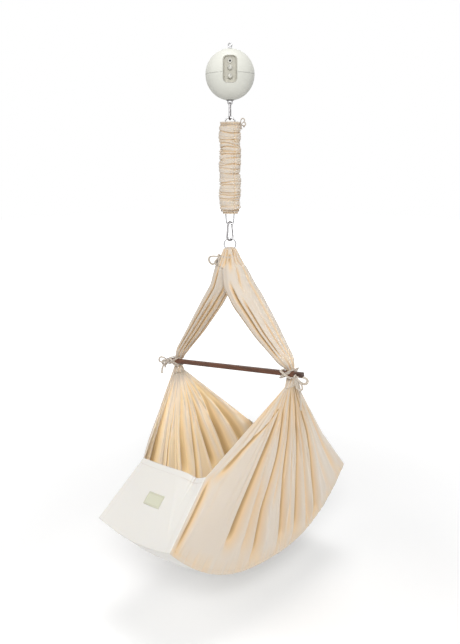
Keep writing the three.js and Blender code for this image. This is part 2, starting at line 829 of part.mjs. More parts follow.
function outputEye() {
  const half = (outputEyeWidth - outputWire) / 2;
  const bottom = -ballRadius - outputEyeDrop + outputWire / 2;
  const top = rackFootBottom + footHeight + outputWire / 2;
  const arc = arcPoints(0, bottom + half, half, 180, 360, 8);
  const start = new THREE.Vector3(-half, 0, top);
  const end = new THREE.Vector3(half, 0, top);
  const straight = [0.33, 0.67].map((t) => mix(top, bottom + half, t));
  const down = straight.map((z) => new THREE.Vector3(-half, 0, z));
  const up = straight.map((z) => new THREE.Vector3(half, 0, z)).reverse();
  return bentWire([start, ...down, ...arc, ...up, end], outputWire, hookSides, 13);
}

function guide(z) {
  const gap = runningGap;
  const right = rackPitchX + toothModule + gap;
  const z0 = z - guideHeight / 2;
  const z1 = z + guideHeight / 2;
  const body = block(-rackBack - gap - guideWall, right + guideWall, -rackWidth / 2 - gap - guideWall / 2,
    chassisFront - seat, z0, z1);
  const way = block(-rackBack - gap, right, -rackWidth / 2 - gap, rackWidth / 2 + gap, z0 * 2 - z1, z1 * 2 - z0);
  return cut(body, way);
}

function gearbox() {
  const front = chassisFront + chassisThickness + seat;
  const body = rodY(gearboxDiameter, front, front + gearboxLength, pinionX, pinionZ + gearboxOffset, 20);
  const bore = rodY(driveShaftDiameter + runningGap, 0, driveShaftReach + seat, pinionX, pinionZ, 16);
  return cut(body, bore);
}

function gearMotor() {
  const front = chassisFront + chassisThickness + gearboxLength + seat * 2;
  const z = pinionZ + gearboxOffset;
  const can = rodY(motorDiameter, front, front + motorLength, pinionX, z, 16);
  const endCap = rodY(motorDiameter / 2, front, front + motorLength + cutOverrun / 2, pinionX, z, 12);
  return joined(can, endCap);
}

function outputBezel() {
  const inner = footDiameter / 2 + runningGap;
  const outer = inner + bezelWall;
  const bottom = -ballRadius + runningGap * 2;
  const top = bottom + bezelHeight;
  const low = bottom + bezelFlangeRise;
  const high = low + bezelFlangeHeight;
  const wide = outer + bezelFlange;
  const profile = [[inner, bottom], [outer, bottom], [outer, low], [wide, low], [wide, high], [outer, high],
    [outer, top], [inner, top], [inner, bottom]];
  return turned(profile, 16);
}

function motorBall() {
  const group = new THREE.Group();
  group.add(piece('upper_shell', upperShell(), ballPlastic));
  group.add(piece('lower_shell', lowerShell(), ballPlastic));
  bossCentres.forEach(({ name, x }) => group.add(piece(`shell_screw_${name}`, shellScrew(x), zincSteel)));
  group.add(piece('eye_bolt', eyeBolt(), zincSteel));
  group.add(piece('eye_nut', eyeNut(), zincSteel));
  group.add(piece('eye_spacer', eyeSpacer(), zincSteel));
  group.add(piece('chassis', chassis(), motorSteel));
  group.add(piece('control_panel', controlPanel(), panelPlastic));
  group.add(piece('panel_screw_upper', panelScrew(upperPostZ), zincSteel));
  group.add(piece('panel_screw_lower', panelScrew(lowerPostZ), zincSteel));
  group.add(piece('power_jack', powerJack(), whitePlastic));
  group.add(piece('speed_knob', knob(speedKnobZ), whitePlastic));
  group.add(piece('timer_knob', knob(timerKnobZ), whitePlastic));
  group.add(piece('speed_potentiometer', potentiometer(speedKnobZ), blackPlastic));
  group.add(piece('timer_potentiometer', potentiometer(timerKnobZ), blackPlastic));
  group.add(piece('circuit_board', circuitBoard(), boardGreen));
  group.add(piece('gearbox', gearbox(), motorSteel));
  group.add(piece('gear_motor', gearMotor(), motorSteel));
  group.add(piece('drive_pinion', drivePinion(), brassGear));
  group.add(piece('drive_rack', driveRack(), zincSteel));
  group.add(piece('upper_guide', guide(upperGuideZ), blackPlastic));
  group.add(piece('lower_guide', guide(lowerGuideZ), blackPlastic));
  group.add(piece('output_bezel', outputBezel(), blackPlastic));
  group.add(piece('output_eye', outputEye(), darkSteel));
  group.rotation.z = panelTurnDegrees * degrees;
  group.position.z = ballZ;
  return group;
}

// Snap hook in its own X-Z plane, with the centre of its top wire at the origin.
function hookEndZ(hook) {
  return -hook.length + hook.wire;
}

function gateLine(hook) {
  const pivot = new THREE.Vector3(hook.topRadius, 0, -hook.topRadius - gatePivotDrop);
  const nose = new THREE.Vector3(hook.endRadius, 0, hookEndZ(hook) + hook.endRadius + noseRise);
  return { pivot, nose };
}

function hookBody(hook) {
  const top = arcPoints(0, -hook.topRadius, hook.topRadius, 0, 180, 8);
  const end = arcPoints(0, hookEndZ(hook) + hook.endRadius, hook.endRadius, 180, 360, 8);
  const { pivot, nose } = gateLine(hook);
  const start = new THREE.Vector3(hook.topRadius, 0, pivot.z + hook.wire / 2);
  const tip = new THREE.Vector3(hook.endRadius, 0, nose.z);
  const wire = bentWire([start, ...top, ...end, tip], hook.wire, hookSides, 18);
  const half = tongueWidth / 2;
  const thick = tongueThickness / 2;
  const tongue = block(pivot.x - half, pivot.x + half, -thick, thick, pivot.z - half, start.z + half);
  return cut(joined(wire, tongue), rodY(gatePinDiameter + seat * 2, -hook.wire, hook.wire, pivot.x, pivot.z, 10));
}

function hookGate(hook) {
  const { pivot, nose } = gateLine(hook);
  const lean = Math.atan2(nose.x - pivot.x, pivot.z - nose.z);
  const top = tongueWidth * 0.3;
  const bottom = -(pivot.distanceTo(nose) - gateEndGap);
  const bar = rodZ(gateWire, bottom, top, 0, 0, 10);
  const slot = tongueThickness / 2 + seat;
  const fork = block(-gateWire, gateWire, -slot, slot, -tongueWidth, tongueWidth);
  const hole = rodY(gatePinDiameter + seat * 2, -gateWire, gateWire, 0, 0, 10);
  const geometry = cut(bar, fork, hole);
  return geometry.rotateY(-lean).translate(pivot.x, 0, pivot.z);
}

function gatePin(hook) {
  const { pivot } = gateLine(hook);
  return rodY(gatePinDiameter, -gateWire / 2, gateWire / 2, pivot.x, pivot.z, 10);
}

function snapHook(prefix, hook, z) {
  const group = new THREE.Group();
  group.add(piece(`${prefix}_body`, hookBody(hook), darkSteel));
  group.add(piece(`${prefix}_gate`, hookGate(hook), darkSteel));
  group.add(piece(`${prefix}_pin`, gatePin(hook), zincSteel));
  group.rotation.z = (panelTurnDegrees + hook.turnDegrees) * degrees;
  group.position.z = z;
  return group;
}

// Spring: one unbroken wire. The top loop faces the front and the bottom loop is seen edge-on.
function springPoints() {
  const points = [];
  const bodyTop = springTopZ - springRadius - springNeck;
  const bodyBottom = springBottomZ + springRadius + springNeck;
  const loopSteps = springCurlSteps + 2;
  const topCentre = springTopZ - springRadius;
  const bottomCentre = springBottomZ + springRadius;
  for (let i = 0; i <= loopSteps; i += 1) {
    const angle = mix(180 - springLoopDegrees, 180, i / loopSteps) * degrees;
    const x = -springRadius * Math.cos(angle + Math.PI);
    points.push(new THREE.Vector3(x, 0, topCentre + springRadius * Math.sin(angle)));
  }
  const rise = 3;
  for (let i = 1; i < rise; i += 1) {
    const t = i / rise;
    const turn = Math.PI + t * t * springNeckTurn;
    points.push(new THREE.Vector3(springRadius * Math.cos(turn), springRadius * Math.sin(turn),
      mix(topCentre, bodyTop, t)));
  }
  const steps = springTurns * springCurlSteps;
  const startTurn = Math.PI + springNeckTurn;
  const endTurn = startTurn + (springTurns + 0.25) * 2 * Math.PI - springNeckTurn * 2;
  for (let i = 0; i <= steps; i += 1) {
    const turn = mix(startTurn, endTurn, i / steps);
    points.push(new THREE.Vector3(springRadius * Math.cos(turn), springRadius * Math.sin(turn),
      mix(bodyTop, bodyBottom, i / steps)));
  }
  const last = Math.PI * 1.5;
  for (let i = 1; i < rise; i += 1) {
    const t = 1 - i / rise;
    const turn = last - t * t * springNeckTurn;
    points.push(new THREE.Vector3(springRadius * Math.cos(turn), springRadius * Math.sin(turn),
      mix(bottomCentre, bodyBottom, t)));
  }
  for (let i = 0; i <= loopSteps; i += 1) {
    const angle = mix(180, 180 + springLoopDegrees, i / loopSteps) * degrees;
    points.push(new THREE.Vector3(0, springRadius * Math.cos(angle), bottomCentre + springRadius * Math.sin(angle)));
  }
  return points;
}

// The least gap of a tube to itself: the closest that two stretches more than half a curl apart come.
function leastGap(points, wire, apart) {
  let least = Infinity;
  const onSegment = (p, a, b) => {
    const span = b.clone().sub(a);
    const t = Math.min(Math.max(p.clone().sub(a).dot(span) / span.lengthSq(), 0), 1);
    return p.distanceTo(a.clone().addScaledVector(span, t));
  };
  for (let i = 0; i < points.length; i += 1) {
    for (let j = i + apart; j < points.length - 1; j += 1) {
      least = Math.min(least, onSegment(points[i], points[j], points[j + 1]));
    }
  }
  return least - wire;
}

function spring() {
  const points = springPoints();
  console.log('spring: least gap to itself', leastGap(points, springWire, springCurlSteps / 2).toFixed(2));
  return tubeThrough(points, springWire, springSides, false);
}

// Spring cover: a cloth tube gathered into ripples, drawn in near both ends where its cords sit.
const coverNeckShares = [0.7, 0.35, -0.35];

function coverNeck(z) {
  const near = (centre) => Math.max(0, 1 - Math.abs(z - centre) / (coverNeckHeight / 2));
  return coverNeckDepth * smooth(Math.max(near(coverTopZ - coverCordDrop), near(coverBottomZ + coverCordDrop)) * 1.6);
}

function coverSurface(z, angle) {
  const length = coverTopZ - coverBottomZ;
  const phase = (coverTopZ - z) / length * coverRipples * 2 * Math.PI;
  const ripple = coverRipple * Math.cos(phase + 1.3 * Math.sin(2 * angle));
  const neck = coverNeck(z);
  return coverRadius - neck + ripple * (1 - neck / coverNeckDepth);
}

function springCover() {
  const rings = [];
  const ring = (z, radiusAt) => Array.from({ length: coverAround }, (_, j) => {
    const angle = j / coverAround * 2 * Math.PI;
    const radius = radiusAt(angle);
    return new THREE.Vector3(radius * Math.cos(angle), radius * Math.sin(angle), z);
  });
  const steps = coverRipples * 2;
  const rippleTop = coverTopZ - coverCordDrop - coverNeckHeight / 2;
  const rippleBottom = coverBottomZ + coverCordDrop + coverNeckHeight / 2;
  const heights = [coverTopZ];
  coverNeckShares.forEach((share) => heights.push(coverTopZ - coverCordDrop + share * coverNeckHeight / 2));
  for (let i = 0; i <= steps; i += 1) heights.push(mix(rippleTop, rippleBottom, i / steps));
  coverNeckShares.forEach((share) => heights.push(coverBottomZ + coverCordDrop + share * coverNeckHeight / 2));
  heights.push(coverBottomZ);
  heights.forEach((z) => rings.push(ring(z, (angle) => coverSurface(z, angle))));
  const drawnIn = (springDiameter / 2 + seat) / Math.cos(Math.PI / coverAround);
  const inside = [[coverBottomZ, coverInnerRadius], [coverBottomZ + coverCordDrop, drawnIn],
    [rippleBottom, coverInnerRadius], [rippleTop, coverInnerRadius], [coverTopZ - coverCordDrop, drawnIn],
    [coverTopZ, coverInnerRadius]];
  inside.forEach(([z, radius]) => rings.push(ring(z, () => radius)));
  return loft(rings, true);
}

function cordRing(radius, cord, z) {
  return new THREE.TorusGeometry(radius, cord / 2, tieSides, 14).translate(0, 0, z);
}

const coverCordRadius = coverRadius - coverNeckDepth + coverCord / 2 + seat * 3;

// A bow: a knot with two loops and two tails, spread along +X from the knot and hanging down.
function bow(cord, size) {
  const knot = new THREE.SphereGeometry(bowKnot / 2 * size, 6, 4);
  const parts = [knot];
  [-1, 1].forEach((way) => {
    const loop = Array.from({ length: 6 }, (_, i) => {
      const angle = i / 6 * 2 * Math.PI;
      const out = bowLoop / 2 * size * (1 - Math.cos(angle));
      const wide = bowLoop / 4 * size * Math.sin(angle);
      return new THREE.Vector3(out, way * bowKnot / 3 * size + wide * 0.4, way * out * 0.45 + wide * way);
    });
    parts.push(tubeThrough(loop, cord * 0.8, tieSides, true));
    const tail = Array.from({ length: 4 }, (_, i) => {
      const t = i / 3;
      return new THREE.Vector3(bowTail * size * 0.35 * t, way * bowTail * size * 0.25 * t, -bowTail * size * t * t);
    });
    parts.push(tubeThrough(tail, cord * 0.8, tieSides, false));
  });
  return joined(...parts);
}

function coverTie() {
  const z = coverTopZ - coverCordDrop;
  const knot = bow(coverCord, 0.6).translate(coverCordRadius + bowKnot * 0.2, 0, z);
  return joined(cordRing(coverCordRadius, coverCord, z), knot).rotateZ(panelTurnDegrees * degrees);
}

// Welded link, hooks' ring
function trapezoidLink() {
  const top = linkTopWidth / 2 - linkWire / 2;
  const bottom = linkBottomWidth / 2 - linkWire / 2;
  const corners = [[top, linkTopZ], [-top, linkTopZ], [-bottom, linkBottomZ], [bottom, linkBottomZ]];
  const points = corners.flatMap(([x, z], i) => {
    const here = new THREE.Vector3(x, 0, z);
    const toward = (k) => new THREE.Vector3(corners[(i + k) % 4][0], 0, corners[(i + k) % 4][1]).sub(here).normalize();
    const before = here.clone().addScaledVector(toward(3), linkCornerRadius);
    const after = here.clone().addScaledVector(toward(1), linkCornerRadius);
    const middle = before.clone().add(after).multiplyScalar(0.3).addScaledVector(here, 0.4);
    return [before, middle, after];
  });
  return tubeThrough(points, linkWire, hookSides, true);
}

function hangRing() {
  return new THREE.TorusGeometry(ringRadius, ringWire / 2, hookSides, 20).rotateX(Math.PI / 2)
    .translate(0, 0, ringCentreZ);
}

function chain() {
  const group = new THREE.Group();
  group.add(snapHook('upper_hook', upperHook, upperHookZ));
  const facing = new THREE.Group();
  facing.rotation.z = panelTurnDegrees * degrees;
  facing.add(piece('spring', spring(), zincSteel));
  facing.add(piece('trapezoid_link', trapezoidLink(), zincSteel));
  facing.add(piece('hang_ring', hangRing(), zincSteel));
  group.add(facing);
  group.add(piece('spring_cover', springCover(), cotton));
  group.add(piece('cover_tie', coverTie(), cotton));
  group.add(piece('cover_cord', cordRing(coverCordRadius, coverCord, coverBottomZ + coverCordDrop), cotton));
  group.add(snapHook('lower_hook', lowerHook, lowerHookZ));
  return group;
}

// Cloth gather: it wraps the ring's lowest wire and widens down to the slings.
function gatherPoint(z, angle, proud) {
  const t = (gatherTopZ - z) / (gatherTopZ - gatherBottomZ);
  const lobe = gatherLobeDepth * Math.cos(gatherLobes * angle) * t;
  const x = mix(gatherTopRadius, gatherHalfX, t ** 0.75) + lobe + proud;
  const y = mix(gatherTopRadius, gatherHalfY, t ** 0.6) + lobe + proud;
  return new THREE.Vector3(x * Math.cos(angle), y * Math.sin(angle), z);
}

function clothGather() {
  const steps = 6;
  const rings = Array.from({ length: steps + 1 }, (_, i) => {
    const z = mix(gatherTopZ, gatherBottomZ, (i / steps) ** 1.4);
    return Array.from({ length: 18 }, (_, j) => gatherPoint(z, j / 18 * 2 * Math.PI, 0));
  });
  const around = new THREE.TorusGeometry(ringRadius, ringWire / 2 + seat * 1.5, hookSides, 20)
    .rotateX(Math.PI / 2).rotateZ(panelTurnDegrees * degrees).translate(0, 0, ringCentreZ);
  return cut(loft(rings, false), around);
}

function neckTie() {
  const z = ringBottomZ - neckTieDrop;
  const proud = gatherLobeDepth + tieCord / 2 + seat;
  const round = Array.from({ length: 14 }, (_, j) => gatherPoint(z, j / 14 * 2 * Math.PI, proud));
  const side = (180 + panelTurnDegrees) * degrees;
  const knotAt = gatherPoint(z, side, proud + bowKnot * 0.1);
  const knot = bow(tieCord, 1).rotateZ(side).translate(knotAt.x, knotAt.y, z);
  return joined(tubeThrough(round, tieCord, tieSides, true), knot);
}

const tiePoint = (sign) => {
  const x = sign * tieHalfSpan;
  return new THREE.Vector3(x, 0, barZ + x * Math.tan(barTilt));
};

// Upper sling: a soft bundle with folds, from the gather to just under the bar, cut flat between the two.
const slingCentreShares = [[0, 0.055], [0.2, 0.15], [0.35, 0.3], [0.65, 0.63], [0.9, 0.93], [1, 1]];
const slingWidthShares = [[0, 0.5], [0.2, 0.88], [0.35, 1], [0.65, 0.78], [0.88, 0.42], [0.93, 0.2], [0.97, 0], [1, 0]];
const slingHeightShares = [0, 0.08, 0.18, 0.29, 0.42, 0.55, 0.67, 0.78, 0.88, 0.93, 0.97, 1];
const neckHeightShares = [0.25, 0.6, 1];

function upperSling({ sign }) {
  const tie = tiePoint(sign);
  const top = gatherBottomZ - seat;
  const neckZ = tie.z - neckDrop + seat;
  const side = 1 + sign * slingSideShare;
  const section = (z, cx, hx, hy, folds) => Array.from({ length: slingAround }, (_, j) => {
    const angle = j / slingAround * 2 * Math.PI;
    const ripple = 1 + folds * Math.cos(slingFolds * angle + sign);
    const x = cx + hx * ripple * Math.cos(angle);
    return new THREE.Vector3(sign * Math.max(sign * x, splitGap / 2), hy * ripple * Math.sin(angle), z);
  });
  const rings = [];
  slingHeightShares.forEach((t) => {
    const width = along(slingWidthShares, t);
    const cx = tie.x * along(slingCentreShares, t);
    const hx = mix(slingTieHalfX, slingMidHalfX * side, width);
    const hy = mix(slingTieHalfY, slingMidHalfY * side, width);
    rings.push(section(mix(top, tie.z, t), cx, hx, hy, slingFoldShare * smooth(width * 2)));
  });
  neckHeightShares.forEach((t) => {
    const spread = smooth((t - neckHeightShares[0]) / (1 - neckHeightShares[0]));
    const hx = mix(slingTieHalfX, neckHalfX, spread);
    rings.push(section(mix(tie.z, neckZ, t), tie.x, hx, mix(slingTieHalfY, neckHalfY, spread), 0));
  });
  return loft(rings, false);
}

// Spreader bar: a rounded square stick, tilted, in front of the slings.
function spreaderBar() {
  const half = barSize / 2;
  const shape = new THREE.Shape();
  shape.moveTo(-half + barEdge, -half);
  [[1, -1, -90], [1, 1, 0], [-1, 1, 90], [-1, -1, 180]].forEach(([x, y, from]) => {
    const start = from * degrees;
    shape.absarc(x * (half - barEdge), y * (half - barEdge), barEdge, start, start + Math.PI / 2);
  });
  const inner = barLength - barEdge;
  const options = { depth: inner, bevelEnabled: true, bevelSize: -barEdge / 4, bevelThickness: barEdge / 2,
    bevelSegments: 1, curveSegments: 3 };
  const stick = new THREE.ExtrudeGeometry(shape, options).translate(0, 0, -inner / 2).rotateY(Math.PI / 2);
  return stick.rotateY(-barTilt).translate(barShiftX, barY, barZ + barShiftX * Math.tan(barTilt));
}

// The lashing runs behind the cloth, over the bar on one side, across its front and under it on the other.
function barTie({ sign }) {
  const tie = tiePoint(sign);
  const reach = slingTieHalfX + tieCord / 2 + seat;
  const lift = barSize / 2 + tieCord / 2 + seat * 4;
  const back = slingTieHalfY + tieCord / 2 + seat;
  const front = barY - barSize / 2 - tieCord / 2 - seat;
  const corner = tieCord;
  const tiltRise = Math.tan(barTilt);
  const at = (x, y) => new THREE.Vector3(x, y, sign * x / reach * lift + x * tiltRise);
  const outline = [at(-reach, back - corner), at(-reach, (back + front) / 2), at(-reach, front + corner),
    at(-reach + corner, front), at(0, front), at(reach - corner, front), at(reach, front + corner),
    at(reach, (back + front) / 2), at(reach, back - corner), at(reach - corner, back), at(0, back),
    at(-reach + corner, back)];
  const curve = new THREE.CatmullRomCurve3(outline, true, 'centripetal');
  const points = curve.getPoints(tieSteps).slice(0, tieSteps);
  const band = tubeThrough(points, tieCord, tieSides, true);
  const knot = bow(tieCord, 0.85).rotateZ(-(60 - sign * 50) * degrees);
  knot.translate(sign * bowKnot * 0.4, front - bowKnot * 0.35, bowKnot * 0.25);
  return joined(band, knot).translate(tie.x, tie.y, tie.z);
}

// Side wall: a pleated fan from the tie to the floor's long edge, pulled in where the end panels are sewn on.
const floorStation = (i) => floorHalfLength * (i * 2 / floorSteps - 1);
const hemCurve = (y) => cornerZ - floorSag * (1 - Math.abs(y / floorHalfLength) ** floorSagPower);
const hemHalfWidth = (y) => floorHalfWidth + sideBow * (1 - (y / floorHalfLength) ** 2);

// The hem's curve as straight runs between stations, so that the layers on it lie flat on each other.
function floorZ(y) {
  const place = Math.min(Math.max((y / floorHalfLength + 1) / 2 * floorSteps, 0), floorSteps);
  const i = Math.min(Math.floor(place), floorSteps - 1);
  return mix(hemCurve(floorStation(i)), hemCurve(floorStation(i + 1)), place - i);
}

const panelCornerZ = ({ topHalfWidth }, sign) => {
  return ringBottomZ - panelTopDrop + sign * topHalfWidth * Math.tan(barTilt) * panelTiltShare;
};

function wallMiddle(sign, v, t) {
  const tie = tiePoint(sign);
  const panel = endPanels[v < 0 ? 0 : 1];
  const pinchShare = (panel.innerY - neckHalfY) / (floorHalfLength - neckHalfY);
  const y = v * floorHalfLength;
  const footX = sign * hemHalfWidth(y);
  const top = new THREE.Vector3(tie.x, v * neckHalfY, tie.z - neckDrop);
  const foot = new THREE.Vector3(footX, y, floorZ(y) + footX * floorSlope);
  const point = top.clone().lerp(foot, t);
  const cornerX = sign * floorHalfWidth;
  const cornerTop = new THREE.Vector3(tie.x, 0, tie.z - neckDrop);
  const cornerFoot = new THREE.Vector3(cornerX, 0, cornerZ + cornerX * floorSlope);
  const plain = cornerTop.lerp(cornerFoot, pinchShare);
  const pull = t < pinchShare ? t / pinchShare : (1 - t) / (1 - pinchShare);
  const nearEnd = Math.max(0, (Math.abs(v) - pinchStartShare) / (1 - pinchStartShare)) ** 2;
  point.x += (sign * panel.topHalfWidth - plain.x) * pull * nearEnd;
  point.z += (panelCornerZ(panel, sign) - plain.z) * pull * nearEnd;
  const billow = wallBillow * Math.sin(Math.PI * t) * (1 - v * v);
  const depth = pleatDepth * Math.sin(Math.PI * Math.min(t * 1.02, 1)) ** 0.8 + neckHalfX / 3 * (1 - smooth(t * 4));
  const fold = depth * Math.cos(pleats * Math.PI * (v + 1)) * (1 - v ** 8);
  point.x += sign * (billow + fold);
  return point;
}

function wallThickness(t) {
  return mix(neckThickness, clothThickness, smooth(t * 5));
}

function sideWall({ sign }) {
  const face = (way) => (u, t) => {
    const point = wallMiddle(sign, u * 2 - 1, t);
    point.x += way * wallThickness(t) / 2;
    return point;
  };
  return sheet(pleats * pleatSteps, wallSteps, face(sign), face(-sign));
}

// Pocket base, mattress and floor cloth follow the sagging hem.
function layerHalfWidth(y, relief) {
  const v = Math.abs(y) / floorHalfLength;
  const nearEnd = Math.max(0, (v - pinchStartShare) / (1 - pinchStartShare)) ** 2;
  return hemHalfWidth(y) - clothThickness / 2 - seat - relief * nearEnd;
}

// How far the cloth under the mattress hangs below its side hems, in straight runs between its stations.
function sagAcross(across) {
  const place = (across + 1) / 2 * acrossSteps;
  const i = Math.min(Math.max(Math.floor(place), 0), acrossSteps - 1);
  const at = (k) => crossSag * (1 - (k / acrossSteps * 2 - 1) ** 2);
  return mix(at(i), at(i + 1), place - i);
}

function layer(lowAt, highAt, inset, relief, knees) {
  const end = floorHalfLength - inset;
  const inside = Array.from({ length: floorSteps - 1 }, (_, i) => floorStation(i + 1));
  const stations = [...inside, -end, end, ...knees, ...knees.map((y) => -y)].sort((a, b) => a - b);
  const last = stations.length - 1;
  const face = (zAt) => (u, w) => {
    const y = stations[Math.round(u * last)];
    const across = w * 2 - 1;
    const x = layerHalfWidth(y, relief) * across;
    return new THREE.Vector3(x, y, zAt(y) + x * floorSlope - sagAcross(across));
  };
  return sheet(last, acrossSteps, face(highAt), face(lowAt));
}

const baseTop = (y) => floorZ(y) + clothThickness;
const floorLift = (y) => {
  const full = mattressThickness + seat;
  return full * (1 - smooth((Math.abs(y) - mattressHalfLength - seat * 2) / floorFade));
};
const floorUnder = (y) => baseTop(y) + seat + floorLift(y);

const mattressEndShares = [0, 0.07, 0.25, 0.5];

function mattress() {
  const inside = Array.from({ length: floorSteps - 1 }, (_, i) => floorStation(i + 1));
  const middle = inside.filter((y) => Math.abs(y) < mattressHalfLength - mattressCornerRadius / 2);
  const ends = mattressEndShares.map((share) => mattressHalfLength - share * mattressCornerRadius);
  const stations = [...middle, ...ends, ...ends.map((y) => -y)].sort((a, b) => a - b);
  const rings = stations.map((y) => {
    const fromEnd = mattressHalfLength - Math.abs(y);
    const corner = Math.max(0, 1 - fromEnd / mattressCornerRadius);
    const half = mattressHalfWidth - mattressCornerRadius * (1 - Math.sqrt(1 - corner * corner));
    const tuck = Math.sqrt(1 - Math.max(0, 1 - fromEnd / (mattressThickness / 2)) ** 2);
    const low = baseTop(y) + seat;
    const thick = mattressThickness * Math.max(tuck, 0.3);
    const flat = thick - mattressCrown;
    const edge = Math.min(flat * 0.35, half / 3);
    const quarter = layerHalfWidth(y, pinchRelief) / 2;
    const top = thick - mattressCrown * 0.2;
    const outline = [[-half, edge], [-half + edge, 0], [-quarter, 0], [0, 0], [quarter, 0], [half - edge, 0],
      [half, edge], [half - edge, flat], [quarter, top], [0, top], [-quarter, top], [-half + edge, flat]];
    return outline.map(([x, up]) => {
      return new THREE.Vector3(x, y, low + up + x * floorSlope - sagAcross(x / quarter / 2));
    });
  });
  return loft(rings, false);
}

// End panel: a sheet that leans inward over the mattress's end, with a thick hem along its top edge.
function panelFrame({ end, innerY }) {
  const foot = new THREE.Vector3(0, end * floorHalfLength, cornerZ);
  const head = new THREE.Vector3(0, end * innerY, ringBottomZ - panelTopDrop);
  const up = head.clone().sub(foot);
  const out = new THREE.Vector3(0, end * up.z, -end * up.y).normalize();
  return { foot, up, out, length: up.length() };
}

function panelPoint(panel, w, t, lift) {
  const { foot, up, out } = panelFrame(panel);
  const half = mix(floorHalfWidth, panel.topHalfWidth, t) + clothThickness / 2;
  const across = w * 2 - 1;
  const point = foot.clone().addScaledVector(up, t);
  point.x = half * across;
  point.z += mix(point.x * floorSlope - sagAcross(across), point.x * Math.tan(barTilt) * panelTiltShare, t);
  const sag = panelSag * Math.sin(Math.PI * w) * Math.sin(Math.PI * t * 0.9);
  return point.addScaledVector(out, lift + sag);
}

function endPanel(panel) {
  const { length } = panelFrame(panel);
  const thicknessAt = (t) => (1 - t) * length < panelHemWidth ? panelHemThickness : clothThickness;
  const steps = Math.round(length / (panelHemWidth * 1.6));
  const inner = (u, v) => panelPoint(panel, u, v, panelLift);
  const outer = (u, v) => panelPoint(panel, u, v, panelLift + thicknessAt(v));
  return sheet(acrossSteps, steps, outer, inner);
}

function labelPatch() {
  const panel = endPanels[0];
  const { length } = panelFrame(panel);
  const bare = panelLift + clothThickness;
  const corner = (u, v, lift) => {
    const w = (patchCentreX + patchWidth * (u - 0.5)) / (floorHalfWidth * 2) + 0.5;
    const t = (patchUp + patchHeight * (v - 0.5)) / length;
    return panelPoint(panel, w, t, bare + lift);
  };
  return sheet(4, 2, (u, v) => corner(u, v, patchThickness), (u, v) => corner(u, v, seat));
}

function cradle() {
  const group = new THREE.Group();
  group.add(piece('cloth_gather', clothGather(), cotton));
  group.add(piece('neck_tie', neckTie(), cotton));
  sides.forEach((side) => {
    group.add(piece(`${side.name}_upper_sling`, upperSling(side), cotton));
    group.add(piece(`${side.name}_bar_tie`, barTie(side), cotton));
    group.add(piece(`${side.name}_side_wall`, sideWall(side), cotton));
  });
  group.add(piece('spreader_bar', spreaderBar(), walnut));
  endPanels.forEach((panel) => group.add(piece(panel.name, endPanel(panel), paleCotton)));
  group.add(piece('label_patch', labelPatch(), patchCotton));
  const floorTop = (y) => floorUnder(y) + clothThickness;
  const floorKnees = [0, 0.5, 1].map((share) => mattressHalfLength + seat * 2 + floorFade * share);
  group.add(piece('pocket_base', layer(floorZ, baseTop, baseInset, pinchRelief, []), paleCotton));
  group.add(piece('mattress', mattress(), kapok));
  const floor = layer(floorUnder, floorTop, floorInset, floorRelief, floorKnees);
  group.add(piece('cradle_floor', floor, cotton));
  return group;
}

const hangingCradle = new THREE.Group();
hangingCradle.add(motorBall());
hangingCradle.add(chain());
hangingCradle.add(cradle());

export default hangingCradle;
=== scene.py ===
"""Hanging baby cradle: the finishes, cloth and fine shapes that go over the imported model."""
import math

import bmesh
import bpy
import numpy as np
from bpy.props import FloatProperty, FloatVectorProperty, IntProperty, PointerProperty
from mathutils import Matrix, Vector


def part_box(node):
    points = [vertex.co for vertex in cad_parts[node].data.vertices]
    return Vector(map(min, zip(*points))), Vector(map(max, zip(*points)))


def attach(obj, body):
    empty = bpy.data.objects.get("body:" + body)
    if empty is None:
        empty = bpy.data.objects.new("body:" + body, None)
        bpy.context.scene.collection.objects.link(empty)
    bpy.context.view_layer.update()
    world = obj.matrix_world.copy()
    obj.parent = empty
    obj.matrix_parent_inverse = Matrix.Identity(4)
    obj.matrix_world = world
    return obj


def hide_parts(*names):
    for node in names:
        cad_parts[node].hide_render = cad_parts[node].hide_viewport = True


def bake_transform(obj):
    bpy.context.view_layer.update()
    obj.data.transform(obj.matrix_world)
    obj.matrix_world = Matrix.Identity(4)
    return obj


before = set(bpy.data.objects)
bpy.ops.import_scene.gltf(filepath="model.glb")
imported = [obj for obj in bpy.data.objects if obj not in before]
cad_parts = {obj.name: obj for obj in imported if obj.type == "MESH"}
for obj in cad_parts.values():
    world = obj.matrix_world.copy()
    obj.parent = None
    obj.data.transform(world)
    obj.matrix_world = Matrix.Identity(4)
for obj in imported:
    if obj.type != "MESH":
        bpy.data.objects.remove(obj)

bl_info = {
    "name": "Hanging Baby Cradle",
    "version": (1, 0, 0),
    "blender": (4, 5, 0),
    "location": "View3D > Sidebar > Cradle",
    "description": "Dresses a sling cradle with cotton, walnut, steel and moulded plastic",
    "category": "Add Mesh",
}

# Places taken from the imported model
BALL_BOTTOM, BALL_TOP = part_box("lower_shell")[0].z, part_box("upper_shell")[1].z
BALL_RADIUS = (BALL_TOP - BALL_BOTTOM) / 2
BALL_Z = (BALL_TOP + BALL_BOTTOM) / 2
RING_LOW, RING_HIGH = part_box("hang_ring")
RING_WIRE = 0.0042
RING_RADIUS = (RING_HIGH.z - RING_LOW.z - RING_WIRE) / 2
RING_BOTTOM = RING_LOW.z + RING_WIRE / 2
COVER_BOTTOM, COVER_TOP = (corner.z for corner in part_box("spring_cover"))
SPRING_BOTTOM, SPRING_TOP = (corner.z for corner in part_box("spring"))
BAR_CENTRE = [(low + high) / 2 for low, high in zip(*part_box("spreader_bar"))]

# The control panel and the rings of the chain face between the front and the right
PANEL_TURN = math.radians(45)

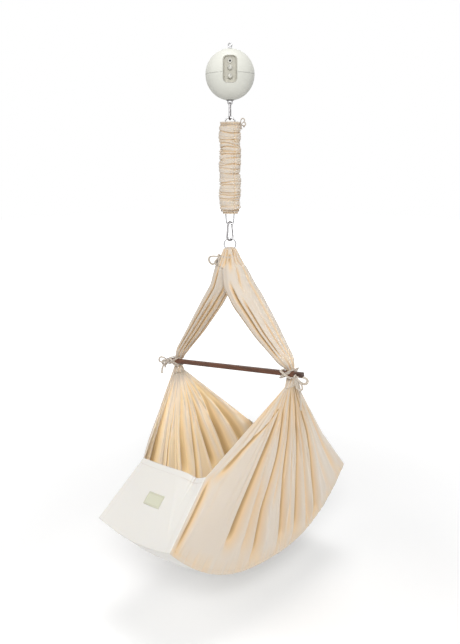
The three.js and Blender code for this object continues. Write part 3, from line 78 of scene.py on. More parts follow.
# Sizes that the walls, slings and panels share, in metres
TIE_HALF_SPAN = 0.247
BAR_TILT = math.radians(7.6)
BAR_DROP = 0.361
BAR_SIZE = 0.014
NECK_DROP = 0.040
NECK_HALF_Y = 0.024
FLOOR_HALF_WIDTH = 0.165
FLOOR_HALF_LENGTH = 0.394
HEM_DROP = 0.782
FLOOR_SAG = 0.184
FLOOR_SAG_POWER = 2.5
FLOOR_SLOPE = math.tan(math.radians(4.3))
SIDE_BOW = 0.012
CROSS_SAG = 0.022
END_PANELS = {
    -1: {"name": "front", "inset": 0.156, "top": 0.141, "drop": 0.627, "corner_dip": 0.009},
    1: {"name": "rear", "inset": 0.130, "top": 0.170, "drop": 0.641, "corner_dip": 0.015},
}
PANEL_TILT_SHARE = 0.85
WALL_BILLOW = 0.014
PINCH_START_SHARE = 0.70
PINCH_RELIEF = 0.0039
FLOOR_RELIEF = 0.012
MATTRESS_HALF_LENGTH = 0.345
BAR_Z = RING_BOTTOM - BAR_DROP
CORNER_Z = RING_BOTTOM - HEM_DROP
GATHER_DROP = 0.044
GATHER_TOP_RISE = 0.008
GATHER_BOTTOM = RING_BOTTOM - GATHER_DROP

# Sewing: where the seam lies in a turned hem, how wide its groove is, and the stitches along it
SEAM_SHARE = 0.80
SEAM_GROOVE = 0.0012
STITCH_PITCH = 0.0045
STITCH_LIFT = 0.0003

# Finishes of parts inside the ball and of small dark parts, as linear values
INK = (0.03, 0.03, 0.03)
BLACK_PLASTIC = (0.035, 0.035, 0.04)
BOARD_LACQUER = (0.03, 0.13, 0.06)
DRIVE_STEEL = (0.42, 0.43, 0.44)
BRASS = (0.60, 0.42, 0.16)
WHITE = (1.0, 1.0, 1.0)


class CradleCloth(bpy.types.PropertyGroup):
    """Sizes and counts of the cotton's folds."""

    thickness: FloatProperty(
        name="Cloth thickness", description="Thickness of the cotton", default=0.0016, unit="LENGTH")
    hem_width: FloatProperty(
        name="Hem width", description="Width of the turned hems", default=0.014, unit="LENGTH")
    fine_depth: FloatProperty(
        name="Fine fold depth", description="Depth of the side walls' fine folds", default=0.007,
        unit="LENGTH")
    fine_folds: IntProperty(
        name="Fine folds", description="Fine folds near the neck of each side wall", default=34)
    neck_folds: IntProperty(
        name="Neck folds", description="Tight folds where each side wall is tied", default=8)
    puckers: IntProperty(
        name="Puckers", description="Small gathers along the lower seam of each side wall", default=64)
    sling_folds: IntProperty(
        name="Sling folds", description="Folds round each upper sling", default=8)
    cover_wrinkles: IntProperty(
        name="Cover wrinkles", description="Wrinkles along the spring cover", default=25)


class CradleColours(bpy.types.PropertyGroup):
    """Colours of the finishes, as linear values."""

    cotton: FloatVectorProperty(
        name="Cotton", description="Undyed cotton", subtype="COLOR", default=(0.59, 0.52, 0.44))
    # The fold colour is painted shade: the warmer, darker tone that cotton is given deep in its folds, where shade
    # falls.
    fold: FloatVectorProperty(
        name="Fold", description="Cotton deep in a fold", subtype="COLOR", default=(0.70, 0.47, 0.23))
    pale_cotton: FloatVectorProperty(
        name="Pale cotton", description="Bleached cotton of the end panels", subtype="COLOR",
        default=(0.69, 0.67, 0.63))
    patch: FloatVectorProperty(
        name="Patch", description="Bare woven patch", subtype="COLOR", default=(0.58, 0.575, 0.45))
    ball: FloatVectorProperty(
        name="Ball", description="Moulded housing", subtype="COLOR", default=(0.615, 0.615, 0.56))
    recess: FloatVectorProperty(
        name="Recess", description="Control panel", subtype="COLOR", default=(0.48, 0.465, 0.40))
    inlet: FloatVectorProperty(
        name="Inlet", description="Inlet and knobs", subtype="COLOR", default=(0.54, 0.53, 0.48))
    walnut: FloatVectorProperty(
        name="Walnut", description="Spreader bar", subtype="COLOR", default=(0.082, 0.027, 0.009))
    steel: FloatVectorProperty(
        name="Steel", description="Hooks and output eye", subtype="COLOR", default=(0.36, 0.35, 0.355))
    zinc: FloatVectorProperty(
        name="Zinc", description="Ring, link, spring and eye", subtype="COLOR", default=(0.56, 0.56, 0.57))


# Materials
class Value:
    """A shader socket that takes part in Python arithmetic."""

    def __init__(self, nodes, socket):
        self.nodes = nodes
        self.socket = socket

    def _math(self, operation, *operands):
        return self.nodes.node("ShaderNodeMath", {"operation": operation}, dict(enumerate(operands)))

    def __add__(self, other):
        return self._math("ADD", self, other)

    __radd__ = __add__

    def __sub__(self, other):
        return self._math("SUBTRACT", self, other)

    def __rsub__(self, other):
        return self._math("SUBTRACT", other, self)

    def __mul__(self, other):
        return self._math("MULTIPLY", self, other)

    __rmul__ = __mul__

    def clamped(self):
        return self.nodes.node("ShaderNodeClamp", {}, {"Value": self})


class Nodes:
    """The nodes of a material or a world."""

    def __init__(self, owner):
        owner.use_nodes = True
        self.tree = owner.node_tree
        self.tree.nodes.clear()

    def feed(self, socket, value):
        """Links a value to a socket, or sets the socket. A colour without its alpha gets 1."""
        if isinstance(value, Value):
            self.tree.links.new(value.socket, socket)
        elif hasattr(value, "__len__"):
            values = tuple(value)
            needed = len(socket.default_value)
            socket.default_value = values + (1.0,) * (needed - len(values))
        else:
            socket.default_value = value

    def node(self, kind, settings, inputs, output=0):
        """Makes one node with its settings and inputs, and returns one of its outputs."""
        made = self.tree.nodes.new(kind)
        for name, setting in settings.items():
            if name == "stops":
                self._ramp(made.color_ramp, setting)
            else:
                setattr(made, name, setting)
        for name, value in inputs.items():
            self.feed(made.inputs[name], value)
        return Value(self, made.outputs[output]) if made.outputs else None

    def _ramp(self, ramp, stops):
        while len(ramp.elements) < len(stops):
            ramp.elements.new(1.0)
        for element, (place, colour) in zip(ramp.elements, stops):
            element.position = place
            element.color = (*colour, 1.0)


# The Principled shader's sockets, by the short names that a finish uses
SHADER_SOCKETS = {
    "base": "Base Color", "roughness": "Roughness", "metallic": "Metallic", "normal": "Normal",
    "coat": "Coat Weight", "coat_roughness": "Coat Roughness", "sheen": "Sheen Weight",
    "sheen_roughness": "Sheen Roughness", "specular": "Specular IOR Level", "emission": "Emission Color",
    "emission_strength": "Emission Strength", "subsurface": "Subsurface Weight",
    "subsurface_scale": "Subsurface Scale", "subsurface_radius": "Subsurface Radius",
}

# A Mix node's sockets for colours, which share their names with those for numbers
MIX_SHARE, MIX_FIRST, MIX_SECOND, MIX_RESULT = 0, 6, 7, 2


class Finish(Nodes):
    """A procedural material."""

    def __init__(self, name):
        self.material = bpy.data.materials.new(name)
        super().__init__(self.material)

    def place(self):
        return self.node("ShaderNodeTexCoord", {}, {}, "Object")

    def stretched(self, scale, turn=(0.0, 0.0, 0.0)):
        return self.node("ShaderNodeMapping", {}, {"Vector": self.place(), "Scale": scale, "Rotation": turn})

    def noise(self, scale, detail=3.0, vector=None, roughness=0.5):
        where = vector if vector else self.place()
        inputs = {"Vector": where, "Scale": scale, "Detail": detail, "Roughness": roughness}
        return self.node("ShaderNodeTexNoise", {}, inputs, "Fac")

    def attribute(self, name):
        return self.node("ShaderNodeAttribute", {"attribute_name": name}, {}, "Fac")

    def mix(self, share, first, second):
        return self.node("ShaderNodeMix", {"data_type": "RGBA"},
                         {MIX_SHARE: share, MIX_FIRST: first, MIX_SECOND: second}, MIX_RESULT)

    def bump(self, height, strength, distance, under=None):
        inputs = {"Height": height, "Strength": strength, "Distance": distance}
        if under:
            inputs["Normal"] = under
        return self.node("ShaderNodeBump", {}, inputs, "Normal")

    def shade(self, **sockets):
        """Makes the shader with its sockets, and returns the material."""
        inputs = {SHADER_SOCKETS[name]: value for name, value in sockets.items()}
        shader = self.node("ShaderNodeBsdfPrincipled", {}, inputs, "BSDF")
        self.node("ShaderNodeOutputMaterial", {}, {"Surface": shader})
        return self.material


def scaled(colour, share):
    """A colour made lighter or darker."""
    return tuple(min(1.0, part * share) for part in tuple(colour)[:3])


# How much lighter cloth looks on the inside of the cradle, where daylight comes through it
INNER_GLOW = 1.57

# Threads and folds of the cotton, in repeats for each metre
WEAVE_REPEATS = 190.0
SLUB_STRETCH = (900.0, 900.0, 70.0)
CREASE_REPEATS = 38.0


def cotton_finish(name, cloth, fold, weave=1.0):
    """Plain-woven cotton: slubs, a fine weave, a soft sheen, and painted shade in a warmer colour deep in the folds.

    The valley attribute is the painted shade that a point gets in its fold; below zero it marks the inside of the
    cradle, whose colour is painted lighter for daylight coming through the cloth, and its size still gives the
    fold's painted shade.
    """
    finish = Finish(name)
    broad = finish.noise(5.0, 4.0)
    slub = finish.noise(1.0, 2.0, finish.stretched(SLUB_STRETCH))
    depth = finish.attribute("valley")
    # Painted light: below zero the colour is made lighter by INNER_GLOW, for daylight through the cloth.
    inner = (depth * -6.0).clamped()
    valley = (depth * 1.15 - 0.08).clamped() + (depth * -1.15 - 0.08).clamped()
    tone = finish.mix(broad * 0.55, cloth, scaled(cloth, 0.93))
    threaded = finish.mix(slub * 0.35, tone, scaled(cloth, 1.06))
    # Painted shade: the fold colour over the folds and a darker one in the deepest, each with a lighter copy for the
    # inside.
    deep = ((valley - 0.66) * 3.0).clamped()
    raised = finish.mix(inner, threaded, scaled(cloth, INNER_GLOW))
    sunk = finish.mix(inner, fold, scaled(fold, INNER_GLOW))
    coloured = finish.mix(deep * 0.85, finish.mix(valley, raised, sunk), scaled(fold, 0.50))
    warp, weft = (
        finish.node("ShaderNodeTexWave", {"wave_type": "BANDS", "bands_direction": direction},
                    {"Vector": finish.place(), "Scale": WEAVE_REPEATS * weave, "Distortion": 1.2,
                     "Detail Scale": 3.0}, "Fac") for direction in ("Z", "DIAGONAL"))
    crease = finish.noise(CREASE_REPEATS, 5.0, finish.stretched((1.0, 1.0, 0.35)), 0.62)
    soft = finish.bump(crease, 0.35, 0.0022)
    woven = finish.bump(warp * weft + slub * 0.6, 0.02, 0.0003, soft)
    return finish.shade(base=coloured, roughness=(broad * 0.12 + 0.82), normal=woven, sheen=0.25,
                        sheen_roughness=0.5, specular=0.2, subsurface=0.12, subsurface_scale=0.004,
                        subsurface_radius=(1.0, 0.75, 0.45))


def plastic_finish(name, colour, roughness):
    """Moulded plastic: a fine leathery grain, faint flow tones and slightly duller handled spots."""
    finish = Finish(name)
    tone = finish.noise(22.0, 3.0)
    speck = finish.noise(900.0, 2.0)
    base = finish.mix(tone * 0.4, colour, scaled(colour, 0.95))
    rough = tone * 0.10 + speck * 0.06 + (roughness - 0.08)
    return finish.shade(base=base, roughness=rough, normal=finish.bump(speck, 0.18, 0.00018), specular=0.45)


def steel_finish(name, colour, roughness):
    """Plated steel: brushed streaks, dull patches and darker spots in its scratches."""
    finish = Finish(name)
    patch = finish.noise(150.0, 4.0, None, 0.6)
    lines = finish.noise(1.0, 3.0, finish.stretched((60.0, 60.0, 500.0)))
    base = finish.mix((patch * 1.3 - 0.35).clamped(), colour, scaled(colour, 0.72))
    rough = lines * 0.16 + patch * 0.14 + (roughness - 0.14)
    return finish.shade(base=base, metallic=1.0, roughness=rough, normal=finish.bump(lines, 0.12, 0.0001))


def walnut_finish(name, colour):
    """Oiled walnut: long grain along the bar, dark pores and a low sheen."""
    finish = Finish(name)
    along = (0.0, BAR_TILT, 0.0)
    grain = finish.noise(1.0, 6.0, finish.stretched((9.0, 160.0, 160.0), along), 0.65)
    pores = finish.noise(1.0, 3.0, finish.stretched((28.0, 900.0, 900.0), along), 0.7)
    wood = finish.node("ShaderNodeValToRGB", {"stops": (
        (0.28, scaled(colour, 0.55)), (0.46, scaled(colour, 1.0)), (0.58, scaled(colour, 1.55)),
        (0.74, scaled(colour, 0.85)))}, {"Fac": grain}, "Color")
    dark = finish.mix((pores * 3.2 - 1.75).clamped() * 0.6, wood, scaled(colour, 0.3))
    ends = finish.mix(finish.attribute("valley"), dark, scaled(colour, 0.35))
    return finish.shade(base=ends, roughness=(grain * 0.2 + 0.42), normal=finish.bump(pores, 0.25, 0.0004),
                        coat=0.12, coat_roughness=0.35)


FINISHES = {}


def finishes():
    """All the finishes by name, made once from the chosen colours."""
    if FINISHES:
        return FINISHES
    colours = bpy.context.scene.cradle_colours
    FINISHES.update({
        # Each cotton finish's second colour is the painted shade deep in its folds.
        "cotton": cotton_finish("undyed_cotton", colours.cotton, colours.fold),
        # The cord finish is a darker copy of the cotton: painted shade for the shading along the tapes and cords.
        "cord": cotton_finish("cotton_cord", scaled(colours.cotton, 0.84), scaled(colours.fold, 0.8), 2.0),
        "pale": cotton_finish("bleached_cotton", colours.pale_cotton, scaled(colours.cotton, 0.9)),
        "patch": cotton_finish("bare_patch", colours.patch, scaled(colours.patch, 0.8), 0.6),
        "stitch": cotton_finish("stitch_thread", scaled(colours.cotton, 0.9), colours.fold, 2.0),
        "ball": plastic_finish("ball_plastic", colours.ball, 0.5),
        "recess": plastic_finish("recess_plastic", colours.recess, 0.55),
        "inlet": plastic_finish("inlet_plastic", colours.inlet, 0.42),
        "ink": plastic_finish("dark_insert", INK, 0.5),
        "black": plastic_finish("black_plastic", BLACK_PLASTIC, 0.5),
        "board": plastic_finish("board_lacquer", BOARD_LACQUER, 0.35),
        "steel": steel_finish("greyed_steel", colours.steel, 0.36),
        "zinc": steel_finish("zinc_plate", colours.zinc, 0.30),
        "drive": steel_finish("drive_steel", DRIVE_STEEL, 0.42),
        "brass": steel_finish("cut_brass", BRASS, 0.32),
        "walnut": walnut_finish("oiled_walnut", colours.walnut),
    })
    return FINISHES


# Mesh building: a shape is a pair of points and faces, which shapes are joined from
def shape_of(points, faces):
    return np.asarray(points, float).reshape(-1, 3), [tuple(int(i) for i in face) for face in faces]


def joined(*shapes):
    points, faces, start = [], [], 0
    for these, those in shapes:
        points.append(these)
        faces.extend(tuple(i + start for i in face) for face in those)
        start += len(these)
    return np.concatenate(points), faces


def grid(points, wraps=False):
    """Quads over a table of points with rows along the first index."""
    rows, columns = points.shape[:2]
    faces = []
    across = columns if wraps else columns - 1
    for i in range(rows - 1):
        for j in range(across):
            k = (j + 1) % columns
            faces.append((i * columns + j, i * columns + k, (i + 1) * columns + k, (i + 1) * columns + j))
    return shape_of(points, faces)


def capped(points):
    """A skin over closed rings, with its ends shut by fans."""
    rows, columns = points.shape[:2]
    flat, faces = grid(points, True)
    first, last = len(flat), len(flat) + 1
    flat = np.concatenate([flat, [points[0].mean(0)], [points[-1].mean(0)]])
    base = (rows - 1) * columns
    for j in range(columns):
        k = (j + 1) % columns
        faces.append((first, k, j))
        faces.append((last, base + j, base + k))
    return flat, faces


def merged_ring(points):
    """A skin over closed rings, the last joined to the first."""
    rows, columns = points.shape[:2]
    faces = []
    for i in range(rows):
        for j in range(columns):
            k = (j + 1) % columns
            n = (i + 1) % rows
            faces.append((i * columns + j, i * columns + k, n * columns + k, n * columns + j))
    return shape_of(points, faces)


def round_angles(count):
    """Angles evenly round a circle."""
    return np.arange(count) / count * 2 * math.pi


def turned_rings(profile, sides):
    """A ring about Z for each (radius, height) of a profile."""
    angles = round_angles(sides)
    return np.array([[(r * math.cos(a), r * math.sin(a), z) for a in angles] for r, z in profile])


def revolved(profile, sides):
    """A profile of (radius, height) turned about Z and shut at both ends."""
    return capped(turned_rings(profile, sides))


def smooth_route(points, steps, closes=False):
    """Points evenly along a smooth curve through the given ones."""
    route = [np.asarray(p, float) for p in points]
    count = len(route)
    spans = count if closes else count - 1
    found = []
    for i in range(spans):
        a = route[(i - 1) % count] if closes or i > 0 else route[0] * 2 - route[1]
        b, c = route[i], route[(i + 1) % count]
        d = route[(i + 2) % count] if closes or i + 2 < count else c * 2 - b
        for step in range(steps):
            t = step / steps
            found.append(0.5 * (2 * b + (c - a) * t + (2 * a - 5 * b + 4 * c - d) * t ** 2
                                + (3 * b - a - 3 * c + d) * t ** 3))
    if not closes:
        found.append(route[-1])
    return np.array(found)


def tube(route, radius, sides=16, closes=False, flatness=1.0, up=(0.0, 0.0, 1.0)):
    """A tube along a route. radius is one value or one for each point, and flatness squeezes its section.

    up sets which way the section's sides face at the start.
    """
    route = np.asarray(route, float)
    count = len(route)
    radii = np.full(count, radius, float) if np.isscalar(radius) else np.asarray(radius, float)
    if closes:
        ahead = np.roll(route, -1, 0) - np.roll(route, 1, 0)
    else:
        ahead = np.gradient(route, axis=0)
    ahead /= np.linalg.norm(ahead, axis=1)[:, None]
    side = np.cross(np.asarray(up, float), ahead[0])
    if np.linalg.norm(side) < 0.05:
        side = np.cross(np.array([1.0, 0.0, 0.0]), ahead[0])
    sides_along = []
    for direction in ahead:
        side = side - direction * side.dot(direction)
        side /= np.linalg.norm(side)
        sides_along.append(side.copy())
    sides_along = np.array(sides_along)
    if closes:
        back = side - ahead[0] * side.dot(ahead[0])
        back /= np.linalg.norm(back)
        twist = math.atan2(np.cross(back, sides_along[0]).dot(ahead[0]), back.dot(sides_along[0]))
        turns = twist * np.arange(count) / count
    else:
        turns = np.zeros(count)
    rings = []
    for point, direction, across, size, turn in zip(route, ahead, sides_along, radii, turns):
        over = np.cross(direction, across)
        rings.append([point + size * (math.cos(a + turn) * across + flatness * math.sin(a + turn) * over)
                      for a in round_angles(sides)])
    rings = np.array(rings)
    return merged_ring(rings) if closes else capped(rings)


def turned_about_z(shape, angle, lift=0.0):
    """A shape turned about Z, then raised."""
    points, faces = shape
    c, s = math.cos(angle), math.sin(angle)
    turn = np.array([[c, -s, 0], [s, c, 0], [0, 0, 1]])
    return points @ turn.T + np.array([0, 0, lift]), faces


def moved(shape, offset):
    points, faces = shape
    return points + np.asarray(offset, float), faces


def make(name, shape, finish, valley=None, smooth=True):
    """A Blender object from a shape, with its finish and the shade that its folds get."""
    points, faces = shape
    mesh = bpy.data.meshes.new(name)
    mesh.from_pydata([tuple(p) for p in points], [], faces)
    mesh.validate()
    mesh.polygons.foreach_set("use_smooth", [smooth] * len(mesh.polygons))
    attribute = mesh.attributes.new("valley", "FLOAT", "POINT")
    shades = np.zeros(len(points)) if valley is None else np.asarray(valley, float).ravel()
    attribute.data.foreach_set("value", np.clip(shades, -1, 1).astype(np.float32))
    mesh.materials.append(finishes()[finish])
    piece = bpy.data.objects.new(name, mesh)
    bpy.context.scene.collection.objects.link(piece)
    return piece


def with_modifier(piece, kind, **settings):
    """Adds one modifier and applies it to the mesh."""
    modifier = piece.modifiers.new(kind.lower(), kind)
    for name, value in settings.items():
        setattr(modifier, name, value)
    graph = bpy.context.evaluated_depsgraph_get()
    graph.update()
    result = bpy.data.meshes.new_from_object(piece.evaluated_get(graph), depsgraph=graph)
    piece.modifiers.remove(modifier)
    old = piece.data
    piece.data = result
    bpy.data.meshes.remove(old)
    return piece


def outward(piece):
    """Turns every face outward."""
    work = bmesh.new()
    work.from_mesh(piece.data)
    bmesh.ops.recalc_face_normals(work, faces=work.faces)
    work.to_mesh(piece.data)
    work.free()
    return piece


def seated(piece, body, slot, *nodes):
    """Rides a piece on its body and hides what it stands for. Its slot is not used."""
    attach(piece, body)
    if nodes:
        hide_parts(*nodes)
    return piece


def fitted(name, shape, finish, body, slot, *nodes, valley=None):
    """Makes a piece and seats it."""
    return seated(outward(make(name, shape, finish, valley)), body, slot, *nodes)


# Curves
def smoothstep(low, high, x):
    """0 up to low, 1 from high, and smooth between them."""
    t = np.clip((np.asarray(x, float) - low) / (high - low), 0, 1)
    return t * t * (3 - 2 * t)


def swell(x, place, width):
    """A smooth hump that is 1 at its place."""
    return np.exp(-((x - place) / width) ** 2)


def mixed(a, b, t):
    """From a at 0 to b at 1."""
    return a + (b - a) * t


def turn_apart(angle, other):
    """How far apart two turns are, from 0 to pi."""
    return np.abs((angle - other + math.pi) % (2 * math.pi) - math.pi)


def fold_field(across, down, count, seed, wraps=False, width=(0.15, 0.30), reach=(0.7, 1.3)):
    """How deep a cloth lies in its folds, from 0 on a ridge to 1 in a valley.

    across runs from 0 to 1 over the folds and down from 0 at their neck to 1 at the hem. width and reach
    give the range of a fold's width, in folds, and of how far down it goes.
    """
    rng = np.random.default_rng(seed)
    steps = rng.uniform(0.55, 1.45, count)
    edges = np.concatenate([[0], np.cumsum(steps)]) / steps.sum()
    phase = np.interp(across, edges, np.arange(count + 1))
    total = np.zeros(np.broadcast(across, down).shape)
    for k in range(count if wraps else count + 1):
        strength = rng.uniform(0.35, 1.0)
        wide = rng.uniform(*width)
        end = rng.uniform(*reach)
        drift = rng.uniform(-0.35, 0.35)
        wave = rng.uniform(0, 2 * math.pi)
        offset = phase - k - drift * (down - 0.4) - 0.08 * np.sin(5 * down + wave)
        if wraps:
            offset = (offset + count / 2) % count - count / 2
        spread = wide * (1 + 0.5 * down)
        fade = 1 - smoothstep(end - 0.3, end + 0.05, down)
        total = total + strength * fade * swell(offset, 0, spread)
    return np.clip(total, 0, 1)


# Cloth below the bar. A sign picks the left (-1) or right (1) side, an end the front (-1) or rear (1).
def tie_point(sign):
    """The bar's middle line under a tie."""
    x = sign * TIE_HALF_SPAN
    return np.array([x, 0.0, BAR_Z + x * math.tan(BAR_TILT)])


def hem_z(y):
    """Height of the walls' lower edge along the pocket."""
    return CORNER_Z - FLOOR_SAG * (1 - np.abs(np.asarray(y) / FLOOR_HALF_LENGTH) ** FLOOR_SAG_POWER)


def hem_half_width(y):
    return FLOOR_HALF_WIDTH + SIDE_BOW * (1 - (np.asarray(y) / FLOOR_HALF_LENGTH) ** 2)


def cross_sag(across):
    """How far the pocket hangs below its side hems."""
    return CROSS_SAG * (1 - across ** 2)


def panel_inner_y(end):
    return FLOOR_HALF_LENGTH - END_PANELS[end]["inset"]


def near_end(across):
    """How far the walls are pinched together toward the pocket's ends, from 0 to 1."""
    return np.maximum(0, (np.abs(across) - PINCH_START_SHARE) / (1 - PINCH_START_SHARE)) ** 2


def wall_surface(sign, across, down):
    """The side wall without its folds, as points over a table of across (-1 to 1) and down (0 to 1)."""
    tie = tie_point(sign)
    y = across * FLOOR_HALF_LENGTH
    foot_x = sign * hem_half_width(y)
    neck_z = tie[2] - NECK_DROP
    top = np.stack([np.full_like(across, tie[0]), across * NECK_HALF_Y, np.full_like(across, neck_z)], -1)
    foot = np.stack([foot_x, y, hem_z(y) + foot_x * FLOOR_SLOPE], -1)
    points = mixed(top, foot, down[..., None])
    corner_x = sign * FLOOR_HALF_WIDTH
    for end, panel in END_PANELS.items():
        share = (panel_inner_y(end) - NECK_HALF_Y) / (FLOOR_HALF_LENGTH - NECK_HALF_Y)
        plain_x = mixed(tie[0], corner_x, share)
        plain_z = mixed(neck_z, CORNER_Z + corner_x * FLOOR_SLOPE, share)
        head_z = RING_BOTTOM - panel["drop"] + sign * panel["top"] * math.tan(BAR_TILT) * PANEL_TILT_SHARE
        pull = np.where(down < share, down / share, (1 - down) / (1 - share))
        pull = pull * near_end(across) * (across * end > 0)
        points[..., 0] += (sign * panel["top"] - plain_x) * pull
        points[..., 2] += (head_z - plain_z) * pull
    points[..., 0] += sign * WALL_BILLOW * np.sin(math.pi * down) * (1 - across ** 2)
    return points


# Each wall's main folds: where each runs as (down, across) places, how wide it is and how deep, which also sets the
# painted shade in its groove.
# The right wall's are seen from outside, the left wall's from inside the cradle.
WALL_FOLDS = {
    1: (
        (((0.05, -0.58), (0.12, -0.68), (0.20, -0.82), (0.33, -0.91), (0.62, -0.96)), 0.022, 0.95),
        (((0.12, -0.58), (0.40, -0.61), (0.62, -0.61), (0.92, -0.58)), 0.060, 1.00),
        (((0.06, -0.44), (0.30, -0.44)), 0.030, 0.55),
        (((0.50, -0.45), (0.96, -0.38)), 0.050, 0.55),
        (((0.10, -0.36), (0.33, -0.25), (0.60, -0.31), (1.00, -0.22)), 0.058, 1.00),
        (((0.03, -0.12), (0.40, -0.14), (0.70, -0.12)), 0.026, 0.50),
        (((0.00, 0.04), (0.45, -0.02), (0.80, 0.08), (1.00, 0.11)), 0.058, 0.90),
        (((-0.08, 0.16), (0.40, 0.14), (0.98, 0.20)), 0.026, 0.50),
        (((-0.16, 0.44), (0.23, 0.35), (0.50, 0.30), (1.00, 0.30)), 0.055, 1.00),
        (((0.14, 0.48), (0.62, 0.46), (1.02, 0.48)), 0.040, 0.75),
        (((-0.16, 0.58), (0.33, 0.69), (0.60, 0.63), (1.04, 0.57)), 0.046, 1.00),
        (((0.60, -0.980), (0.78, -0.972), (1.03, -0.978)), 0.018, 1.00),
        (((0.20, 0.80), (0.55, 0.78), (1.00, 0.80)), 0.024, 0.35),
        (((0.22, 0.94), (0.72, 0.92), (0.98, 0.92)), 0.024, 0.60),
    ),
    -1: (
        (((0.02, -0.80), (0.30, -0.86), (0.60, -0.90)), 0.040, 0.70),
        (((0.02, -0.56), (0.33, -0.66), (0.64, -0.64), (0.90, -0.60)), 0.075, 0.95),
        (((0.03, -0.20), (0.24, -0.28), (0.42, -0.36), (0.70, -0.35)), 0.024, 0.90),
        (((0.04, 0.14), (0.34, -0.03), (0.75, -0.02)), 0.070, 0.80),
        (((0.10, 0.38), (0.41, 0.24), (0.85, 0.10)), 0.036, 0.95),
        (((0.06, 0.58), (0.38, 0.46), (0.80, 0.42)), 0.050, 1.00),
        (((0.13, 0.88), (0.42, 0.73), (0.90, 0.60)), 0.060, 1.00),
        (((0.20, 0.92), (0.50, 0.89), (0.95, 0.80)), 0.042, 0.85),
    ),
}
WALL_SEEDS = {-1: 11, 1: 23}
WALL_COLUMNS, WALL_ROWS = 561, 91
FOLD_SLOPE = 0.85
NECK_FOLD_DEPTH = 0.0045
PUCKER_DEPTH = 0.0026

# Across the right wall, the smooth strip beside its front edge has no fine folds
PLAIN_STRIP, PLAIN_STRIP_WIDTH = -0.80, 0.10


def set_folds(across, down, folds):
    """Grooves along set routes: each point's depth in them, its height on the ridges beside them, its rise."""
    groove, ridge, rise = (np.zeros(across.shape) for _ in range(3))
    for places, width, strength in folds:
        rows, columns = zip(*places)
        centre = sum(np.interp(down + shift, rows, columns) for shift in (-0.05, 0.0, 0.05)) / 3
        fade = smoothstep(rows[0] - 0.10, rows[0] + 0.08, down)
        fade = fade * (1 - smoothstep(rows[-1] - 0.16, rows[-1] + 0.01, down))
        offset = (across - centre) / width
        leaning = np.where(offset < 0, offset / 0.72, offset / 1.2)
        here = strength * fade * np.exp(-np.abs(leaning) ** 2.6)
        beside = strength * fade * swell(np.abs(leaning), 1.55, 0.5)
        groove = np.maximum(groove, here)
        ridge = np.maximum(ridge, beside)
        rise += width * (0.45 * beside - here)
    return groove, ridge * (1 - groove), rise


def side_wall(sign, cloth):
    """A fan of cloth from the tie down to the pocket's long edge: its points, and a shade for each face."""
    across, down = np.meshgrid(np.linspace(-1, 1, WALL_COLUMNS), np.linspace(0, 1, WALL_ROWS))
    points = wall_surface(sign, across, down)
    seed = WALL_SEEDS[sign]
    share = (across + 1) / 2
    groove, ridge, rise = set_folds(across, down, WALL_FOLDS[sign])
    fine = fold_field(share, down, cloth.fine_folds, seed + 1, reach=(0.3, 1.0))
    bunched = fold_field(share, down, cloth.neck_folds, seed + 3, width=(0.22, 0.34), reach=(0.35, 0.7))
    at_neck = 1 - smoothstep(0.06, 0.42, down)
    pucker = fold_field(share, down, cloth.puckers, seed + 2, width=(0.2, 0.42), reach=(1.4, 1.6))
    half = mixed(NECK_HALF_Y, FLOOR_HALF_LENGTH, down)
    edge = 1 - smoothstep(0.965, 1.0, np.abs(across))
    hem = 1 - 0.72 * smoothstep(0.90, 1.0, down)
    plain = 1 - 0.75 * swell(across, PLAIN_STRIP, PLAIN_STRIP_WIDTH) * smoothstep(0.2, 0.4, down)
    depth = sign * rise * half * FOLD_SLOPE * hem
    depth += sign * cloth.fine_depth * np.minimum(half / 0.12, 1) * (0.3 - fine) * (1 - 0.75 * down) * plain
    depth += sign * NECK_FOLD_DEPTH * (0.3 - bunched) * at_neck
    depth += PUCKER_DEPTH * (0.4 - pucker) * smoothstep(0.87, 0.97, down)
    points[..., 0] += sign * depth * edge
    # Painted shade on the wall: golden in its grooves, weaker lower down, in the tight folds at the neck and in the
    # puckers along the hem.
    late = 1 - 0.12 * smoothstep(0.15, 0.55, down) - 0.25 * smoothstep(0.9, 1.0, down)
    shade = np.clip(0.06 + groove * late + 0.45 * fine * (1 - down) * plain, 0, 1)
    shade = np.maximum(shade, bunched * at_neck) + 0.34 * pucker * smoothstep(0.88, 0.98, down)
    # The right wall's inner face: below zero for painted light through the cloth, its size the painted shade of its
    # ridges and folds.
    far_side = -np.clip(0.35 + 0.35 * ridge + 0.3 * fine * (1 - down), 0.1, 1)
    if sign > 0:
        return points, np.clip(shade, 0, 1), far_side
    # The left wall is seen from inside: painted light through the cloth, painted shade that deepens in its grooves
    # and lower down and fades on its ridges, a paler strip by its front edge, and none at the neck; its outer face
    # gets painted shade on the ridges of its inner folds.
    inside = 0.12 + 0.50 * shade - 0.34 * ridge + 0.30 * smoothstep(0.05, 0.55, down)
    inside = np.clip(inside - 0.5 * smoothstep(0.90, 0.94, -across) * smoothstep(0.3, 0.6, down), 0.1, 1)
    inside = -inside * smoothstep(0.0, 0.16, down)
    outside = np.clip(0.06 + 0.6 * ridge + 0.45 * fine * (1 - down) + 0.8 * bunched * at_neck, 0, 1)
    return points, outside, inside


def sheet_normals(points):
    """Unit normals over a table of points."""
    normals = np.cross(np.gradient(points, axis=1), np.gradient(points, axis=0))
    return normals / np.linalg.norm(normals, axis=2)[..., None]


def edge_distances(points):
    """How far each point of a table lies from each of its edges, along the cloth."""
    along = np.cumsum(np.pad(np.linalg.norm(np.diff(points, axis=1), axis=2), ((0, 0), (1, 0))), 1)
    downward = np.cumsum(np.pad(np.linalg.norm(np.diff(points, axis=0), axis=2), ((1, 0), (0, 0))), 0)
    return {"left": along, "right": along[:, -1:] - along, "head": downward, "foot": downward[-1:] - downward}


